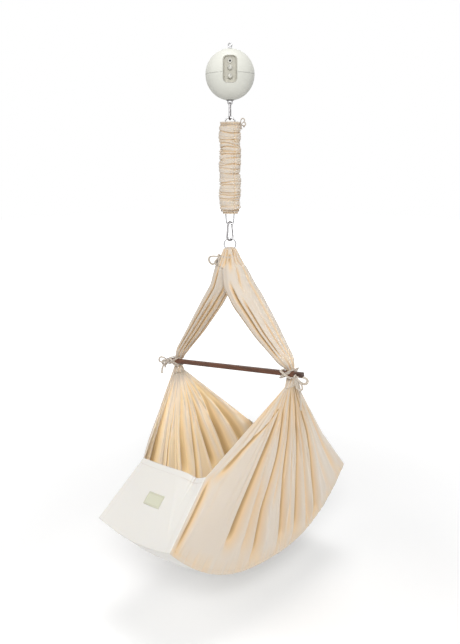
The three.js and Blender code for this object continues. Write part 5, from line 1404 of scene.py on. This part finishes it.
def bow_shape(tape, loops, tails):
    """A tied tape that stands out along +X from its knot.

    Each loop is (outward, sideways, rise, opening) and each tail (outward, sideways, fall), from the knot.
    """
    half = tape / 2
    wrap = np.array([(0.0, -half, half * 0.6), (half * 0.8, 0.0, half * 1.2), (half, half, 0.0),
                     (half * 0.3, 0.0, -half * 1.3), (-half * 0.3, -half * 0.7, -half * 0.4)])
    parts = [tube(smooth_route(wrap, 8, True), half * 0.62, 12, True, 0.8)]
    for outward_reach, sideways, rise, opening in loops:
        direction = np.array([outward_reach, sideways, rise])
        unit = direction / np.linalg.norm(direction)
        open_way = np.array([0.0, 0.0, 1.0]) - unit * unit[2]
        open_way /= np.linalg.norm(open_way)
        t = np.linspace(0.02, 0.98, 40)[:, None]
        route = direction * np.sin(math.pi * t) ** 0.85 + open_way * opening * np.sin(2 * math.pi * t)
        flat_up = np.cross(route[1] - route[0], np.cross(unit, open_way))
        width = half * mixed(0.62, 1.0, np.sin(math.pi * t[:, 0]))
        parts.append(tube(route, width, 12, False, 0.70, flat_up))
    for outward_reach, sideways, fall in tails:
        t = np.linspace(0, 1, 30)[:, None]
        route = np.array([outward_reach, sideways, 0.0]) * np.sin(t * math.pi * 0.55)
        route = route + np.array([0, 0, -fall]) * t ** 1.5
        route = route + np.array([0.0, 0.0018, 0.0]) * np.sin(t * 7)
        parts.append(tube(route, half * mixed(0.60, 0.92, t[:, 0]), 12, False, 0.65, (0.3, 1.0, 0.2)))
    return joined(*parts)


# Slings and gather. Widths and centres are shares at places from the gather (0) to the tie (1), and pairs of
# half widths are along the bar and across it.
BUNDLE_AROUND = 300
GATHER_TOP_RADIUS = 0.0165
GATHER_HALF_X = 0.046
GATHER_HALF_Y = 0.037
GATHER_SHIFT = 0.0035
SLING_CENTRES = [(0, 0.055), (0.2, 0.15), (0.35, 0.3), (0.65, 0.63), (0.9, 0.93), (1, 1)]
SLING_WIDTHS = [(0, 0.5), (0.2, 0.88), (0.35, 1), (0.65, 0.78), (0.88, 0.42), (0.93, 0.2), (0.97, 0), (1, 0)]
SLING_TIE_HALF = (0.014, 0.009)
SLING_MID_HALF = (0.044, 0.048)
SLING_SIDES = {-1: 0.82, 1: 1.18}
SLING_SEEDS = {-1: 53, 1: 37}
SLING_RISE = 0.030
SLING_TOP_WIDTH = {-1: 0.24, 1: 0.02}
SLING_NECK_HALF_X = 0.0085
SLING_HEAD_STEPS, SLING_STEPS, SLING_NECK_STEPS = 12, 130, 25
SLING_SOFTENED = 30
LEAST_SIDE = 0.0004
WAIST_DROP = 0.020

# The folds of the wrap over the ring, as the slings' below, with the deepest beside the label's end
WRAP_FOLDS = (
    (0.790, 0.05, 1.2, 0.010, 0.70), (0.850, 0.30, 1.3, 0.020, 0.80), (0.930, -0.05, 1.2, 0.008, 0.85),
    (0.985, -0.1, 1.2, 0.007, 0.75), (0.040, -0.05, 1.2, 0.008, 0.60), (0.13, 0.05, 1.2, 0.014, 0.8),
    (0.22, 0.05, 1.2, 0.014, 0.8), (0.31, 0.05, 1.2, 0.014, 0.8), (0.39, 0.05, 1.2, 0.014, 0.8),
    (0.48, 0.05, 1.2, 0.014, 0.8), (0.57, 0.05, 1.2, 0.014, 0.8), (0.65, 0.05, 1.2, 0.010, 0.6),
    (0.715, 0.05, 1.2, 0.010, 0.65), (0.775, 0.05, 1.2, 0.009, 0.55),
)

# The slings' deep folds: the turn round the sling (0 to 1), where it starts and ends, its width and depth, which
# also sets its painted shade
SLING_FOLDS = {
    1: (
        (0.788, 0.18, 0.90, 0.012, 1.00), (0.856, 0.36, 0.92, 0.007, 0.95), (0.0075, -0.05, 0.95, 0.009, 0.55),
        (0.815, -0.20, 0.07, 0.020, 0.80), (0.900, 0.02, 0.30, 0.007, 0.60), (0.945, 0.55, 0.98, 0.006, 0.60),
        (0.66, 0.10, 0.90, 0.016, 0.80), (0.20, 0.05, 0.90, 0.016, 0.80), (0.32, 0.20, 0.90, 0.014, 0.90),
        (0.45, 0.10, 0.90, 0.018, 0.90), (0.55, 0.10, 0.90, 0.012, 0.60),
    ),
    -1: (
        (0.745, 0.00, 0.95, 0.011, 1.00), (0.836, 0.26, 0.95, 0.011, 0.85), (0.912, 0.14, 0.92, 0.014, 1.00),
        (0.0075, 0.14, 0.90, 0.014, 1.00), (0.10, 0.10, 0.90, 0.014, 0.80), (0.22, 0.05, 0.90, 0.014, 0.80),
        (0.35, 0.15, 0.90, 0.016, 0.90), (0.50, 0.10, 0.90, 0.018, 0.80),
    ),
}


def from_pairs(pairs, t):
    places, values = zip(*pairs)
    return np.interp(t, places, values)


def softened(values, reach=4):
    """A running mean that leaves the two ends in place."""
    kernel = np.ones(2 * reach + 1) / (2 * reach + 1)
    padded = np.concatenate([np.full(reach, values[0]), values, np.full(reach, values[-1])])
    mean = np.convolve(padded, kernel, "valid")
    mean[0], mean[-1] = values[0], values[-1]
    return mean


def round_folds(angle, down, folds):
    """Grooves that run down a bundle of cloth, from 0 to 1."""
    total = np.zeros(angle.shape)
    for place, start, end, width, strength in folds:
        off = (angle - place - 0.012 * np.sin(4 * down + 9 * place) + 0.5) % 1 - 0.5
        leaning = np.where(off < 0, off / 0.8, off / 1.15) / (width * 1.5)
        fade = smoothstep(start - 0.06, start + 0.12, down) * (1 - smoothstep(end - 0.12, end + 0.06, down))
        total = np.maximum(total, strength * fade * np.exp(-np.abs(leaning) ** 2.2))
    return total


def gather_half(z):
    """Half widths of the gathered cloth, along the bar and across it."""
    t = (RING_BOTTOM + GATHER_TOP_RISE - np.asarray(z)) / (GATHER_DROP + GATHER_TOP_RISE)
    t = np.clip(t, 0, 1)
    return mixed(GATHER_TOP_RADIUS, GATHER_HALF_X, t), mixed(GATHER_TOP_RADIUS, GATHER_HALF_Y, t ** 0.95)


class CRADLE_OT_slings(bpy.types.Operator):
    """Cloth gathered on the ring, its two upper slings and the tie round the gather"""

    bl_idname = "cradle.slings"
    bl_label = "Gather and slings"

    def execute(self, context):
        cloth = context.scene.cradle_cloth
        self.gather()
        for name, sign in (("left", -1), ("right", 1)):
            self.sling(name, sign, cloth)
        self.neck_tie()
        return {"FINISHED"}

    def sling(self, name, sign, cloth):
        """A bundle of cloth from inside the gather, widest a third of the way down, to the tied neck."""
        tie = tie_point(sign)
        fall = GATHER_BOTTOM - tie[2]
        mid_x, mid_y = (half * SLING_SIDES[sign] for half in SLING_MID_HALF)
        tie_x, tie_y = SLING_TIE_HALF
        rise = np.linspace(1, 0, SLING_HEAD_STEPS, endpoint=False)
        t = np.linspace(0, 1, SLING_STEPS)
        width = softened(from_pairs(SLING_WIDTHS, t)) + SLING_TOP_WIDTH[sign] * (1 - smoothstep(0, 0.25, t))
        centre = tie[0] * softened(from_pairs(SLING_CENTRES, t))
        neck = np.linspace(0, 1, SLING_NECK_STEPS + 1)[1:]
        spread = smoothstep(0.1, 1.0, neck)
        inside_x, inside_y = gather_half(GATHER_BOTTOM + SLING_RISE * rise)
        shrink_x, shrink_y = inside_x / GATHER_HALF_X, inside_y / GATHER_HALF_Y
        hx = np.concatenate([mixed(tie_x, mid_x, width[0]) * shrink_x * 0.80, mixed(tie_x, mid_x, width),
                             mixed(tie_x, SLING_NECK_HALF_X, spread)])
        hy = np.concatenate([mixed(tie_y, mid_y, width[0]) * shrink_y * 0.84, mixed(tie_y, mid_y, width),
                             mixed(tie_y, NECK_HALF_Y + 0.001, spread)])
        for half in (hx, hy):
            half[:SLING_SOFTENED] = softened(half)[:SLING_SOFTENED]
        centre = np.concatenate([centre[0] * shrink_x, centre, np.full(len(neck), tie[0])])
        z = np.concatenate([GATHER_BOTTOM + SLING_RISE * rise, mixed(GATHER_BOTTOM, tie[2], t),
                            mixed(tie[2], tie[2] - NECK_DROP - 0.003, neck)])
        steps, tie_step = np.arange(len(z)), len(rise) + len(t)
        lean = softened(np.arctan2(np.gradient(centre), -np.gradient(z)), 8) * smoothstep(0, 24, steps)
        lean = lean * (1 - smoothstep(tie_step - 16, tie_step, steps))
        place = np.concatenate([-SLING_RISE / fall * rise, t, 1 + neck * NECK_DROP / fall])
        angle, down = np.meshgrid(np.arange(BUNDLE_AROUND) / BUNDLE_AROUND, place)
        folded = round_folds(angle, down, SLING_FOLDS[sign])
        seed, along = SLING_SEEDS[sign], np.clip(down, 0, 1)
        soft = fold_field(angle, along, cloth.sling_folds, seed, True, (0.18, 0.34), (1.3, 1.6))
        tight = smoothstep(0.80, 0.97, down)
        bunched = fold_field(angle, along, 11, seed + 2, True, (0.14, 0.24), (1.5, 1.8))
        slim = np.minimum(1, (hy / 0.030))[:, None]
        radial = 1.03 - (0.20 * folded + 0.06 * soft) * (1 - tight) - tight * 0.26 * bunched
        turn = angle * 2 * math.pi
        off = hx[:, None] * radial * np.cos(turn) * np.cos(lean)[:, None]
        x = centre[:, None] + off * np.cos(lean)[:, None]
        y = hy[:, None] * radial * np.sin(turn)
        x = np.where(sign * x < LEAST_SIDE, sign * LEAST_SIDE, x)
        points = np.stack([x, y, z[:, None] + off * np.sin(lean)[:, None]], -1)
        # Painted shade in the folds, and in the tight folds near the tie, easing off down the neck.
        below = 1 - 0.75 * smoothstep(0.2, 1.0, (down - 1) * fall / NECK_DROP)
        shade = np.clip(0.04 + folded * (1 - tight) + 0.18 * soft * slim + 0.70 * tight * bunched * below, 0, 1)
        shade = np.concatenate([shade.ravel(), [0.5, 0.5]])
        fitted(name + "_sling", capped(points), "cotton", "cradle", "cotton", name + "_upper_sling", valley=shade)

    def gather(self):
        """The bunch over the ring: pinched in the ring, then a pleated wrap that spreads over both slings."""
        rows, turned_in = 60, 16
        t = np.linspace(0, 1, rows)
        z = mixed(RING_BOTTOM + GATHER_TOP_RISE, GATHER_BOTTOM - 0.004, t)
        angle, down = np.meshgrid(np.arange(BUNDLE_AROUND) / BUNDLE_AROUND, t)
        turn = angle * 2 * math.pi
        hx, hy = gather_half(z)
        waist = swell(z, RING_BOTTOM - WAIST_DROP, 0.0045)
        crown = np.sqrt(np.clip(t / 0.09, 0, 1))
        folds = round_folds(angle, down, WRAP_FOLDS)
        fine = fold_field(angle, down, 31, 72, True, (0.2, 0.36), (1.4, 1.7))
        wave = 0.0045 * np.sin(turn * 2 + 0.6) * smoothstep(0.55, 1.0, down)
        radial = 1.04 - 0.24 * folds * smoothstep(0.0, 0.2, down) - 0.07 * fine - 0.02 * waist[:, None]
        x = (GATHER_SHIFT * t)[:, None] + (hx * mixed(0.45, 1, crown))[:, None] * radial * np.cos(turn)
        y = (hy * mixed(0.45, 1, crown))[:, None] * radial * np.sin(turn)
        outer = np.stack([x, y, z[:, None] + wave], -1)
        inner = outer[::-1][:turned_in].copy()
        inner[..., :2] *= np.linspace(0.955, 0.86, turned_in)[:, None, None]
        lip = mixed(outer[-1:], inner[:1], 0.5) - np.array([0, 0, 0.0006])
        # Painted shade in the wrap's folds, weaker lower down for its fine folds, and more on the turned-in inside.
        shade = np.clip(folds + 0.42 * fine * (1 - 0.4 * down), 0, 1)
        shades = np.concatenate([shade, shade[-1:], np.clip(shade[::-1][:turned_in] + 0.4, 0, 1)])
        fitted("cloth_bunch", capped(np.concatenate([outer, lip, inner])), "cotton", "cradle", "cotton",
               "cloth_gather", valley=np.concatenate([shades.ravel(), [0.5, 0.9]]))

    def neck_tie(self):
        """Two rounds of cord at the gather's waist, and a bow that hangs toward the left."""
        cord = 0.0018
        z = RING_BOTTOM - WAIST_DROP
        hx, hy = gather_half(z)
        angles = round_angles(90)
        rings = []
        for lift in (-cord, cord):
            wave = 0.0012 * np.sin(2 * angles + lift * 900)
            grip = 0.850 + 0.01 * np.sin(9 * angles + lift * 400)
            route = np.column_stack([hx * grip * np.cos(angles), hy * grip * np.sin(angles), z + lift + wave])
            rings.append(tube(route, cord, 10, True))
        turn = math.pi + PANEL_TURN
        place = (hx * 1.02 * math.cos(turn), hy * 1.02 * math.sin(turn), z)
        bow = turned_about_z(bow_shape(0.0088, ((0.031, 0.000, -0.016, 0.012), (0.012, 0.008, -0.022, 0.006)),
                                       ((0.008, -0.006, 0.030), (0.003, 0.010, 0.022))), turn)
        fitted("gather_tie", joined(*rings, moved(bow, place)), "cord", "cradle", "cotton", "neck_tie")


# Spreader bar: its length and edges, and how far from the middle its end grain darkens
BAR_LENGTH = 0.588
BAR_EDGE = 0.0024
END_GRAIN = (0.262, 0.275)
BAR_ENDS = ((0.5, 0.80), (0.4985, 0.94), (0.4965, 1.0))

# The ties' tape, how far it reaches along the bar from its middle, and how far behind the cloth it runs
TAPE = 0.0074
TAPE_REACH, TAPE_BACK = 0.0180, 0.0118
TAPE_CORNER = 0.004

# The bow at each end of the bar: its knot's place (X, Z), the turn about the vertical that it points to, in
# degrees, and its loops and tails
BAR_BOWS = {
    -1: ((-0.013, -0.001), -145, ((0.034, 0.004, 0.006, 0.009), (0.026, -0.010, -0.012, 0.008)),
         ((0.026, 0.002, 0.044), (0.016, -0.006, 0.026))),
    1: ((0.036, 0.001), 38, ((0.036, -0.004, -0.014, 0.009), (0.020, -0.008, -0.036, 0.008)),
        ((0.010, -0.002, 0.036), (0.020, 0.003, 0.100))),
}


class CRADLE_OT_spreader(bpy.types.Operator):
    """Walnut spreader bar and the cotton ties that lash the cloth to it"""

    bl_idname = "cradle.spreader"
    bl_label = "Spreader bar"

    def execute(self, context):
        self.bar()
        for name, sign in (("left", -1), ("right", 1)):
            self.tie(name, sign)
        return {"FINISHED"}

    def bar(self):
        """A square stick with rounded edges and chamfered ends, along the cradle's tilt."""
        straight, corner_steps = BAR_SIZE / 2 - BAR_EDGE, 5
        outline = []
        for cx, cz, start in ((1, -1, -90), (1, 1, 0), (-1, 1, 90), (-1, -1, 180)):
            for i in range(corner_steps + 1):
                angle = math.radians(start + 90 * i / corner_steps)
                outline.append((cx * straight + BAR_EDGE * math.cos(angle),
                                cz * straight + BAR_EDGE * math.sin(angle)))
        outline = np.array(outline)
        stations = ([(-share, size) for share, size in BAR_ENDS]
                    + [(share, 1.0) for share in np.linspace(-0.495, 0.495, 60)] + list(BAR_ENDS[::-1]))
        rings = [np.column_stack([np.full(len(outline), share * BAR_LENGTH), outline * size])
                 for share, size in stations]
        points, faces = capped(np.array(rings))
        c, s = math.cos(BAR_TILT), math.sin(BAR_TILT)
        x = points[:, 0] * c - points[:, 2] * s
        z = points[:, 0] * s + points[:, 2] * c
        placed = np.column_stack([x + BAR_CENTRE[0], points[:, 1] + BAR_CENTRE[1], z + BAR_CENTRE[2]])
        dark = smoothstep(*END_GRAIN, np.abs(points[:, 0])) * 0.85
        fitted("walnut_bar", (placed, faces), "walnut", "cradle", "walnut", "spreader_bar", valley=dark)

    def tie(self, name, sign):
        """A tape that runs behind the cloth and crosses over the bar, tied in a bow on its front."""
        front = BAR_CENTRE[1] - BAR_SIZE / 2 - TAPE * 0.2 - 0.0004
        lift = BAR_SIZE / 2 + TAPE * 0.35
        slope = math.tan(BAR_TILT)
        turn_in = TAPE_REACH - TAPE_CORNER
        parts = []
        for crossing, shift in ((sign, 0.0012), (-sign, -0.0010), (sign, -0.0048)):
            over = front - (0.0 if crossing == sign else 0.0017)
            outline = ((-TAPE_REACH, TAPE_BACK - TAPE_CORNER), (-TAPE_REACH, -0.002),
                       (-TAPE_REACH, front + TAPE_CORNER), (-turn_in, over), (0, over), (turn_in, over),
                       (TAPE_REACH, front + TAPE_CORNER),
                       (TAPE_REACH, -0.002), (TAPE_REACH, TAPE_BACK - TAPE_CORNER), (turn_in, TAPE_BACK),
                       (0, TAPE_BACK + 0.001), (-turn_in, TAPE_BACK))
            route = [(x + shift * 0.5, y, crossing * x / TAPE_REACH * lift + x * slope + shift)
                     for x, y in outline]
            parts.append(tube(smooth_route(route, 10, True), TAPE / 2, 12, True, 0.36))
        (knot_x, knot_z), turn, loops, tails = BAR_BOWS[sign]
        bow = turned_about_z(bow_shape(TAPE, loops, tails), math.radians(turn))
        parts.append(moved(bow, (knot_x, front - 0.0030, knot_z)))
        fitted(name + "_lashing", moved(joined(*parts), tie_point(sign)), "cord", "cradle", "cotton",
               name + "_bar_tie")


class CRADLE_OT_side_walls(bpy.types.Operator):
    """Folded cotton walls that fan out from the ties to the pocket"""

    bl_idname = "cradle.side_walls"
    bl_label = "Side walls"

    def execute(self, context):
        cloth = context.scene.cradle_cloth
        for name, sign in (("left", -1), ("right", 1)):
            points, outside, inside = side_wall(sign, cloth)
            if sign < 0:
                points, outside, inside = points[:, ::-1], outside[:, ::-1], inside[:, ::-1]
            piece = sheet_piece(name + "_wall", points, "cotton", outside, inside, cloth, ("left", "right", "foot"))
            seated(piece, "cradle", "cotton", name + "_side_wall")
            fitted(name + "_wall_stitches", self.stitch_rows(points, cloth), "stitch", "cradle", "cotton")
        return {"FINISHED"}

    def stitch_rows(self, points, cloth):
        """Rows of stitches along the turned front, rear and lower edges, on the outer face."""
        raised = points - sheet_normals(points) * (cloth.thickness * 0.5 + STITCH_LIFT)
        from_edge = edge_distances(points)
        seam = cloth.hem_width * SEAM_SHARE
        rows, columns = range(4, points.shape[0] - 2), range(6, points.shape[1] - 6)
        lines = [np.array([raised[row, np.argmin(np.abs(from_edge[edge][row] - seam))] for row in rows])
                 for edge in ("left", "right")]
        lines.append(np.array([raised[np.argmin(np.abs(from_edge["foot"][:, column] - seam)), column]
                               for column in columns]))
        return joined(*[run_of_stitches(line, STITCH_PITCH) for line in lines])


def run_of_stitches(line, pitch, size=0.00042):
    """Short raised stitches that follow a line, each ending in the cloth."""
    steps = np.concatenate([[0], np.cumsum(np.linalg.norm(np.diff(line, axis=0), axis=1))])
    count = max(1, int(steps[-1] / pitch))
    parts = []
    for k in range(count):
        places = np.linspace(k + 0.14, k + 0.86, 4) / count * steps[-1]
        route = np.column_stack([np.interp(places, steps, line[:, i]) for i in range(3)])
        parts.append(tube(route, np.array([0.4, 1.0, 1.0, 0.4]) * size, 6))
    return joined(*parts)


# End panels: how far each lies off the walls' plane, its wrinkles' depth and its hem's width and seam
PANEL_LIFT = 0.0022
PANEL_WRINKLE = 0.0017
PANEL_HEM = 0.020
PANEL_SEAM = 0.016

# The patch: its size, its place on the front panel, and its turned edge
PATCH_WIDTH, PATCH_HEIGHT = 0.076, 0.037
PATCH_X, PATCH_UP = 0.003, 0.119
PATCH_LIFT = 0.0046
PATCH_EDGE = 0.0044
PATCH_SEAM = 0.0022
PATCH_THICKNESS = 0.0013


class CRADLE_OT_end_panels(bpy.types.Operator):
    """Pale end panels, and the bare patch sewn on the front one"""

    bl_idname = "cradle.end_panels"
    bl_label = "End panels"

    def execute(self, context):
        cloth = context.scene.cradle_cloth
        for end, panel in END_PANELS.items():
            self.panel(panel["name"], end, cloth)
        self.patch()
        return {"FINISHED"}

    def panel(self, name, end, cloth):
        across, up = np.meshgrid(np.linspace(-1, 1, 201), np.linspace(1, 0, 111))
        if end > 0:
            across = -across
        points = panel_surface(end, across, up, np.full_like(across, PANEL_LIFT))
        ripple = panel_wrinkles(across, up, 31 + end)
        inside = (1 - across ** 10) * (1 - (1 - up) ** 8)
        points += panel_frame(end)[2] * (PANEL_WRINKLE * ripple * inside)[..., None]
        # Painted shade in the hollows of the wrinkles, and more over the panel's second face.
        shade = np.clip(-ripple * 0.16 * inside, 0, 0.5)
        piece = sheet_piece(name + "_end", points, "pale", shade, shade + 0.15, cloth, ("head", "left", "right"),
                            PANEL_HEM)
        seated(piece, "cradle", "pale_cotton", name + "_panel")
        across = np.linspace(-0.97, 0.97, 120)
        up = np.full_like(across, 1 - PANEL_SEAM / panel_frame(end)[3])
        lift = np.full_like(across, PANEL_LIFT + cloth.thickness * 0.5 + STITCH_LIFT)
        stitches = run_of_stitches(panel_surface(end, across, up, lift), STITCH_PITCH)
        fitted(name + "_hem_stitches", stitches, "stitch", "cradle", "pale_cotton")

    def patch(self):
        """A woven patch with turned edges, left bare, and the stitches round it."""
        front, length = -1, panel_frame(-1)[3]

        def on_panel(x, y, lift):
            return panel_surface(front, (PATCH_X + x) / FLOOR_HALF_WIDTH, (PATCH_UP + y) / length, lift)

        u, v = np.meshgrid(np.linspace(-0.5, 0.5, 77), np.linspace(-0.5, 0.5, 41))
        edge = np.minimum((0.5 - np.abs(u)) * PATCH_WIDTH, (0.5 - np.abs(v)) * PATCH_HEIGHT)
        lift = PATCH_LIFT - 0.0007 * smoothstep(0.0035, 0.0052, edge)
        lift = lift - 0.0007 * (1 - smoothstep(0.0, 0.0014, edge))
        lift = lift + 0.0003 * np.sin(u * 23 + 1) * np.sin(v * 9 + 2)
        # Painted shade at the step of the turned edge and along the patch's rim.
        shade = 0.7 * swell(edge, PATCH_EDGE, 0.0008) + 0.35 * (1 - smoothstep(0.0, 0.0012, edge))
        piece = make("bare_patch", grid(on_panel(PATCH_WIDTH * u, PATCH_HEIGHT * v, lift)), "patch", shade)
        with_modifier(piece, "SOLIDIFY", thickness=PATCH_THICKNESS, offset=-1.0, use_rim=True)
        seated(outward(piece), "cradle", "patch_cotton", "label_patch")
        half_w, half_h = PATCH_WIDTH / 2 - PATCH_SEAM, PATCH_HEIGHT / 2 - PATCH_SEAM
        corners = [(-half_w, -half_h), (half_w, -half_h), (half_w, half_h), (-half_w, half_h)]
        runs = []
        t = np.linspace(0, 1, 30)
        for (x0, y0), (x1, y1) in zip(corners, corners[1:] + corners[:1]):
            line = on_panel(mixed(x0, x1, t), mixed(y0, y1, t), np.full_like(t, PATCH_LIFT + 0.0002))
            runs.append(run_of_stitches(line, 0.0030, 0.00034))
        fitted("patch_stitches", joined(*runs), "stitch", "cradle", "patch_cotton")


# Bed: how high the base and the floor cloth lie, and the mattress's half width and thickness
BASE_LIFT = 0.0013
FLOOR_LIFT = 0.0046
MATTRESS_HALF_WIDTH = 0.157
MATTRESS_THICKNESS = 0.0445
MATTRESS_LIFT = 0.0032


class CRADLE_OT_bed(bpy.types.Operator):
    """Mattress between the pocket's base and the cradle's floor cloth"""

    bl_idname = "cradle.bed"
    bl_label = "Bed"

    def execute(self, context):
        cloth = context.scene.cradle_cloth
        self.base(cloth)
        self.floor(cloth)
        self.mattress()
        return {"FINISHED"}

    def layer(self, inset, relief, lift_at, columns=121, rows=281):
        """A sheet along the pocket, between its side hems, lifted off the pocket's own curve."""
        y = np.linspace(-FLOOR_HALF_LENGTH + inset, FLOOR_HALF_LENGTH - inset, rows)
        across, long_way = np.meshgrid(np.linspace(-1, 1, columns), y)
        x = (hem_half_width(long_way) - 0.0016 - relief * near_end(long_way / FLOOR_HALF_LENGTH)) * across
        z = hem_z(long_way) + x * FLOOR_SLOPE - cross_sag(across) + lift_at(across, long_way)
        return np.stack([x, long_way, z], -1), across, long_way

    def base(self, cloth):
        points, across, y = self.layer(0.0018, PINCH_RELIEF, lambda a, y: np.full_like(a, BASE_LIFT))
        rng = np.random.default_rng(61)
        ripple = sum(rng.uniform(0.3, 1) * np.sin(across * rng.uniform(2, 9) + y * rng.uniform(10, 40)
                                                  + rng.uniform(0, 6)) for _ in range(7))
        half_way = np.full_like(across, 0.5)
        pucker = fold_field((y / FLOOR_HALF_LENGTH + 1) / 2, half_way, 60, 63, False, (0.2, 0.4), (2, 3))
        near_seam = smoothstep(0.88, 1.0, np.abs(across))
        gathers = 0.0012 * pucker * near_seam * (1 - np.abs(across) ** 30)
        points[..., 2] += 0.0007 * ripple * (1 - across ** 4) - gathers
        # Painted shade in the ripples and in the puckers along the seams.
        shade = np.clip(-ripple * 0.05 + 0.3 * pucker * near_seam, 0, 0.4)
        piece = sheet_piece("bed_base", points, "pale", shade, shade, cloth, ("head", "foot"))
        seated(piece, "cradle", "pale_cotton", "pocket_base")

    def lift(self, across, y):
        """How high the floor cloth lies over the base: over the mattress, then down to the panels."""
        beyond = np.abs(y) - MATTRESS_HALF_LENGTH - 0.0006
        full = 0.0463 - 0.006 * smoothstep(0.86, 1.0, np.abs(across))
        return FLOOR_LIFT + full * (1 - smoothstep(0.0, 0.036, beyond))

    def floor(self, cloth):
        points, across, y = self.layer(0.0035, FLOOR_RELIEF, self.lift)
        rng = np.random.default_rng(67)
        ripple = np.zeros_like(across)
        for _ in range(22):
            bearing, pitch = rng.uniform(-0.7, 0.7), rng.uniform(40, 130)
            centre = (rng.uniform(-0.9, 0.9), rng.uniform(-0.33, 0.33))
            window = np.exp(-((across - centre[0]) / 0.45) ** 2 - ((y - centre[1]) / 0.12) ** 2)
            along = y * math.cos(bearing) + across * FLOOR_HALF_WIDTH * math.sin(bearing)
            ripple += window * np.sin(pitch * along + rng.uniform(0, 6))
        points[..., 2] += 0.0018 * ripple * (1 - across ** 6)
        # Painted shade: a little over the whole cloth and more in the ripples' hollows.
        shade = np.clip(0.12 - ripple * 0.14, 0, 0.5)
        piece = sheet_piece("floor_cloth", points, "cotton", shade, shade, cloth)
        seated(piece, "cradle", "cotton", "cradle_floor")

    def mattress(self):
        """A soft mattress with rounded ends and edges and a crowned top, bent to the pocket's sag."""
        rows, count = 120, 48
        y = MATTRESS_HALF_LENGTH * np.sin(np.linspace(-math.pi / 2, math.pi / 2, rows))
        angles = round_angles(count)
        around_x = np.sign(np.cos(angles)) * np.abs(np.cos(angles)) ** 0.35
        around_z = np.sign(np.sin(angles)) * np.abs(np.sin(angles)) ** 0.6
        rings = []
        for here in y[1:-1]:
            tuck = (1 - (abs(here) / MATTRESS_HALF_LENGTH) ** 8) ** 0.4
            x = MATTRESS_HALF_WIDTH * mixed(0.72, 1, tuck) * around_x
            thick = MATTRESS_THICKNESS * max(tuck, 0.3)
            z = hem_z(here) + x * FLOOR_SLOPE - cross_sag(x / hem_half_width(here)) + MATTRESS_LIFT
            rings.append(np.column_stack([x, np.full(count, here), z + thick / 2 * (1 + around_z)]))
        piece = fitted("soft_mattress", capped(np.array(rings)), "pale", "cradle", "kapok", "mattress")


class CRADLE_OT_inner_parts(bpy.types.Operator):
    """Finishes for the drive and fittings that keep their own shape"""

    bl_idname = "cradle.inner_parts"
    bl_label = "Inner parts"

    def execute(self, context):
        wanted = {
            "drive": ("chassis", "gearbox", "gear_motor", "drive_rack"),
            "brass": ("drive_pinion",),
            "black": ("speed_potentiometer", "timer_potentiometer", "upper_guide", "lower_guide"),
            "board": ("circuit_board",),
            "zinc": ("shell_screw_left", "shell_screw_right", "eye_nut", "eye_spacer", "panel_screw_upper",
                     "panel_screw_lower"),
        }
        for finish, nodes in wanted.items():
            for node in nodes:
                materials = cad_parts[node].data.materials
                materials.clear()
                materials.append(finishes()[finish])
        return {"FINISHED"}


class CRADLE_PT_sidebar(bpy.types.Panel):
    """Lists the cradle's sizes, colours and pieces"""

    bl_idname = "CRADLE_PT_sidebar"
    bl_label = "Hanging cradle"
    bl_space_type = "VIEW_3D"
    bl_region_type = "UI"
    bl_category = "Cradle"

    def draw(self, context):
        for group in (context.scene.cradle_cloth, context.scene.cradle_colours):
            box = self.layout.box()
            for name in group.__annotations__:
                box.prop(group, name)
        for operator in OPERATORS:
            self.layout.operator(operator.bl_idname)


GROUPS = (CradleCloth, CradleColours)
OPERATORS = (
    CRADLE_OT_stage, CRADLE_OT_motor_ball, CRADLE_OT_steel_chain, CRADLE_OT_spring, CRADLE_OT_slings,
    CRADLE_OT_spreader, CRADLE_OT_side_walls, CRADLE_OT_end_panels, CRADLE_OT_bed, CRADLE_OT_inner_parts,
)
CLASSES = GROUPS + OPERATORS + (CRADLE_PT_sidebar,)


def register():
    for each in CLASSES:
        bpy.utils.register_class(each)
    bpy.types.Scene.cradle_cloth = PointerProperty(type=CradleCloth)
    bpy.types.Scene.cradle_colours = PointerProperty(type=CradleColours)


def unregister():
    del bpy.types.Scene.cradle_colours
    del bpy.types.Scene.cradle_cloth
    for each in reversed(CLASSES):
        bpy.utils.unregister_class(each)


def main():
    """Makes every piece."""
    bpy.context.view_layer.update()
    register()
    bpy.ops.cradle.stage()
    bpy.ops.cradle.motor_ball()
    bpy.ops.cradle.steel_chain()
    bpy.ops.cradle.spring()
    bpy.ops.cradle.slings()
    bpy.ops.cradle.spreader()
    bpy.ops.cradle.bed()
    bpy.ops.cradle.side_walls()
    bpy.ops.cradle.end_panels()
    bpy.ops.cradle.inner_parts()


if __name__ == "__main__":
    main()
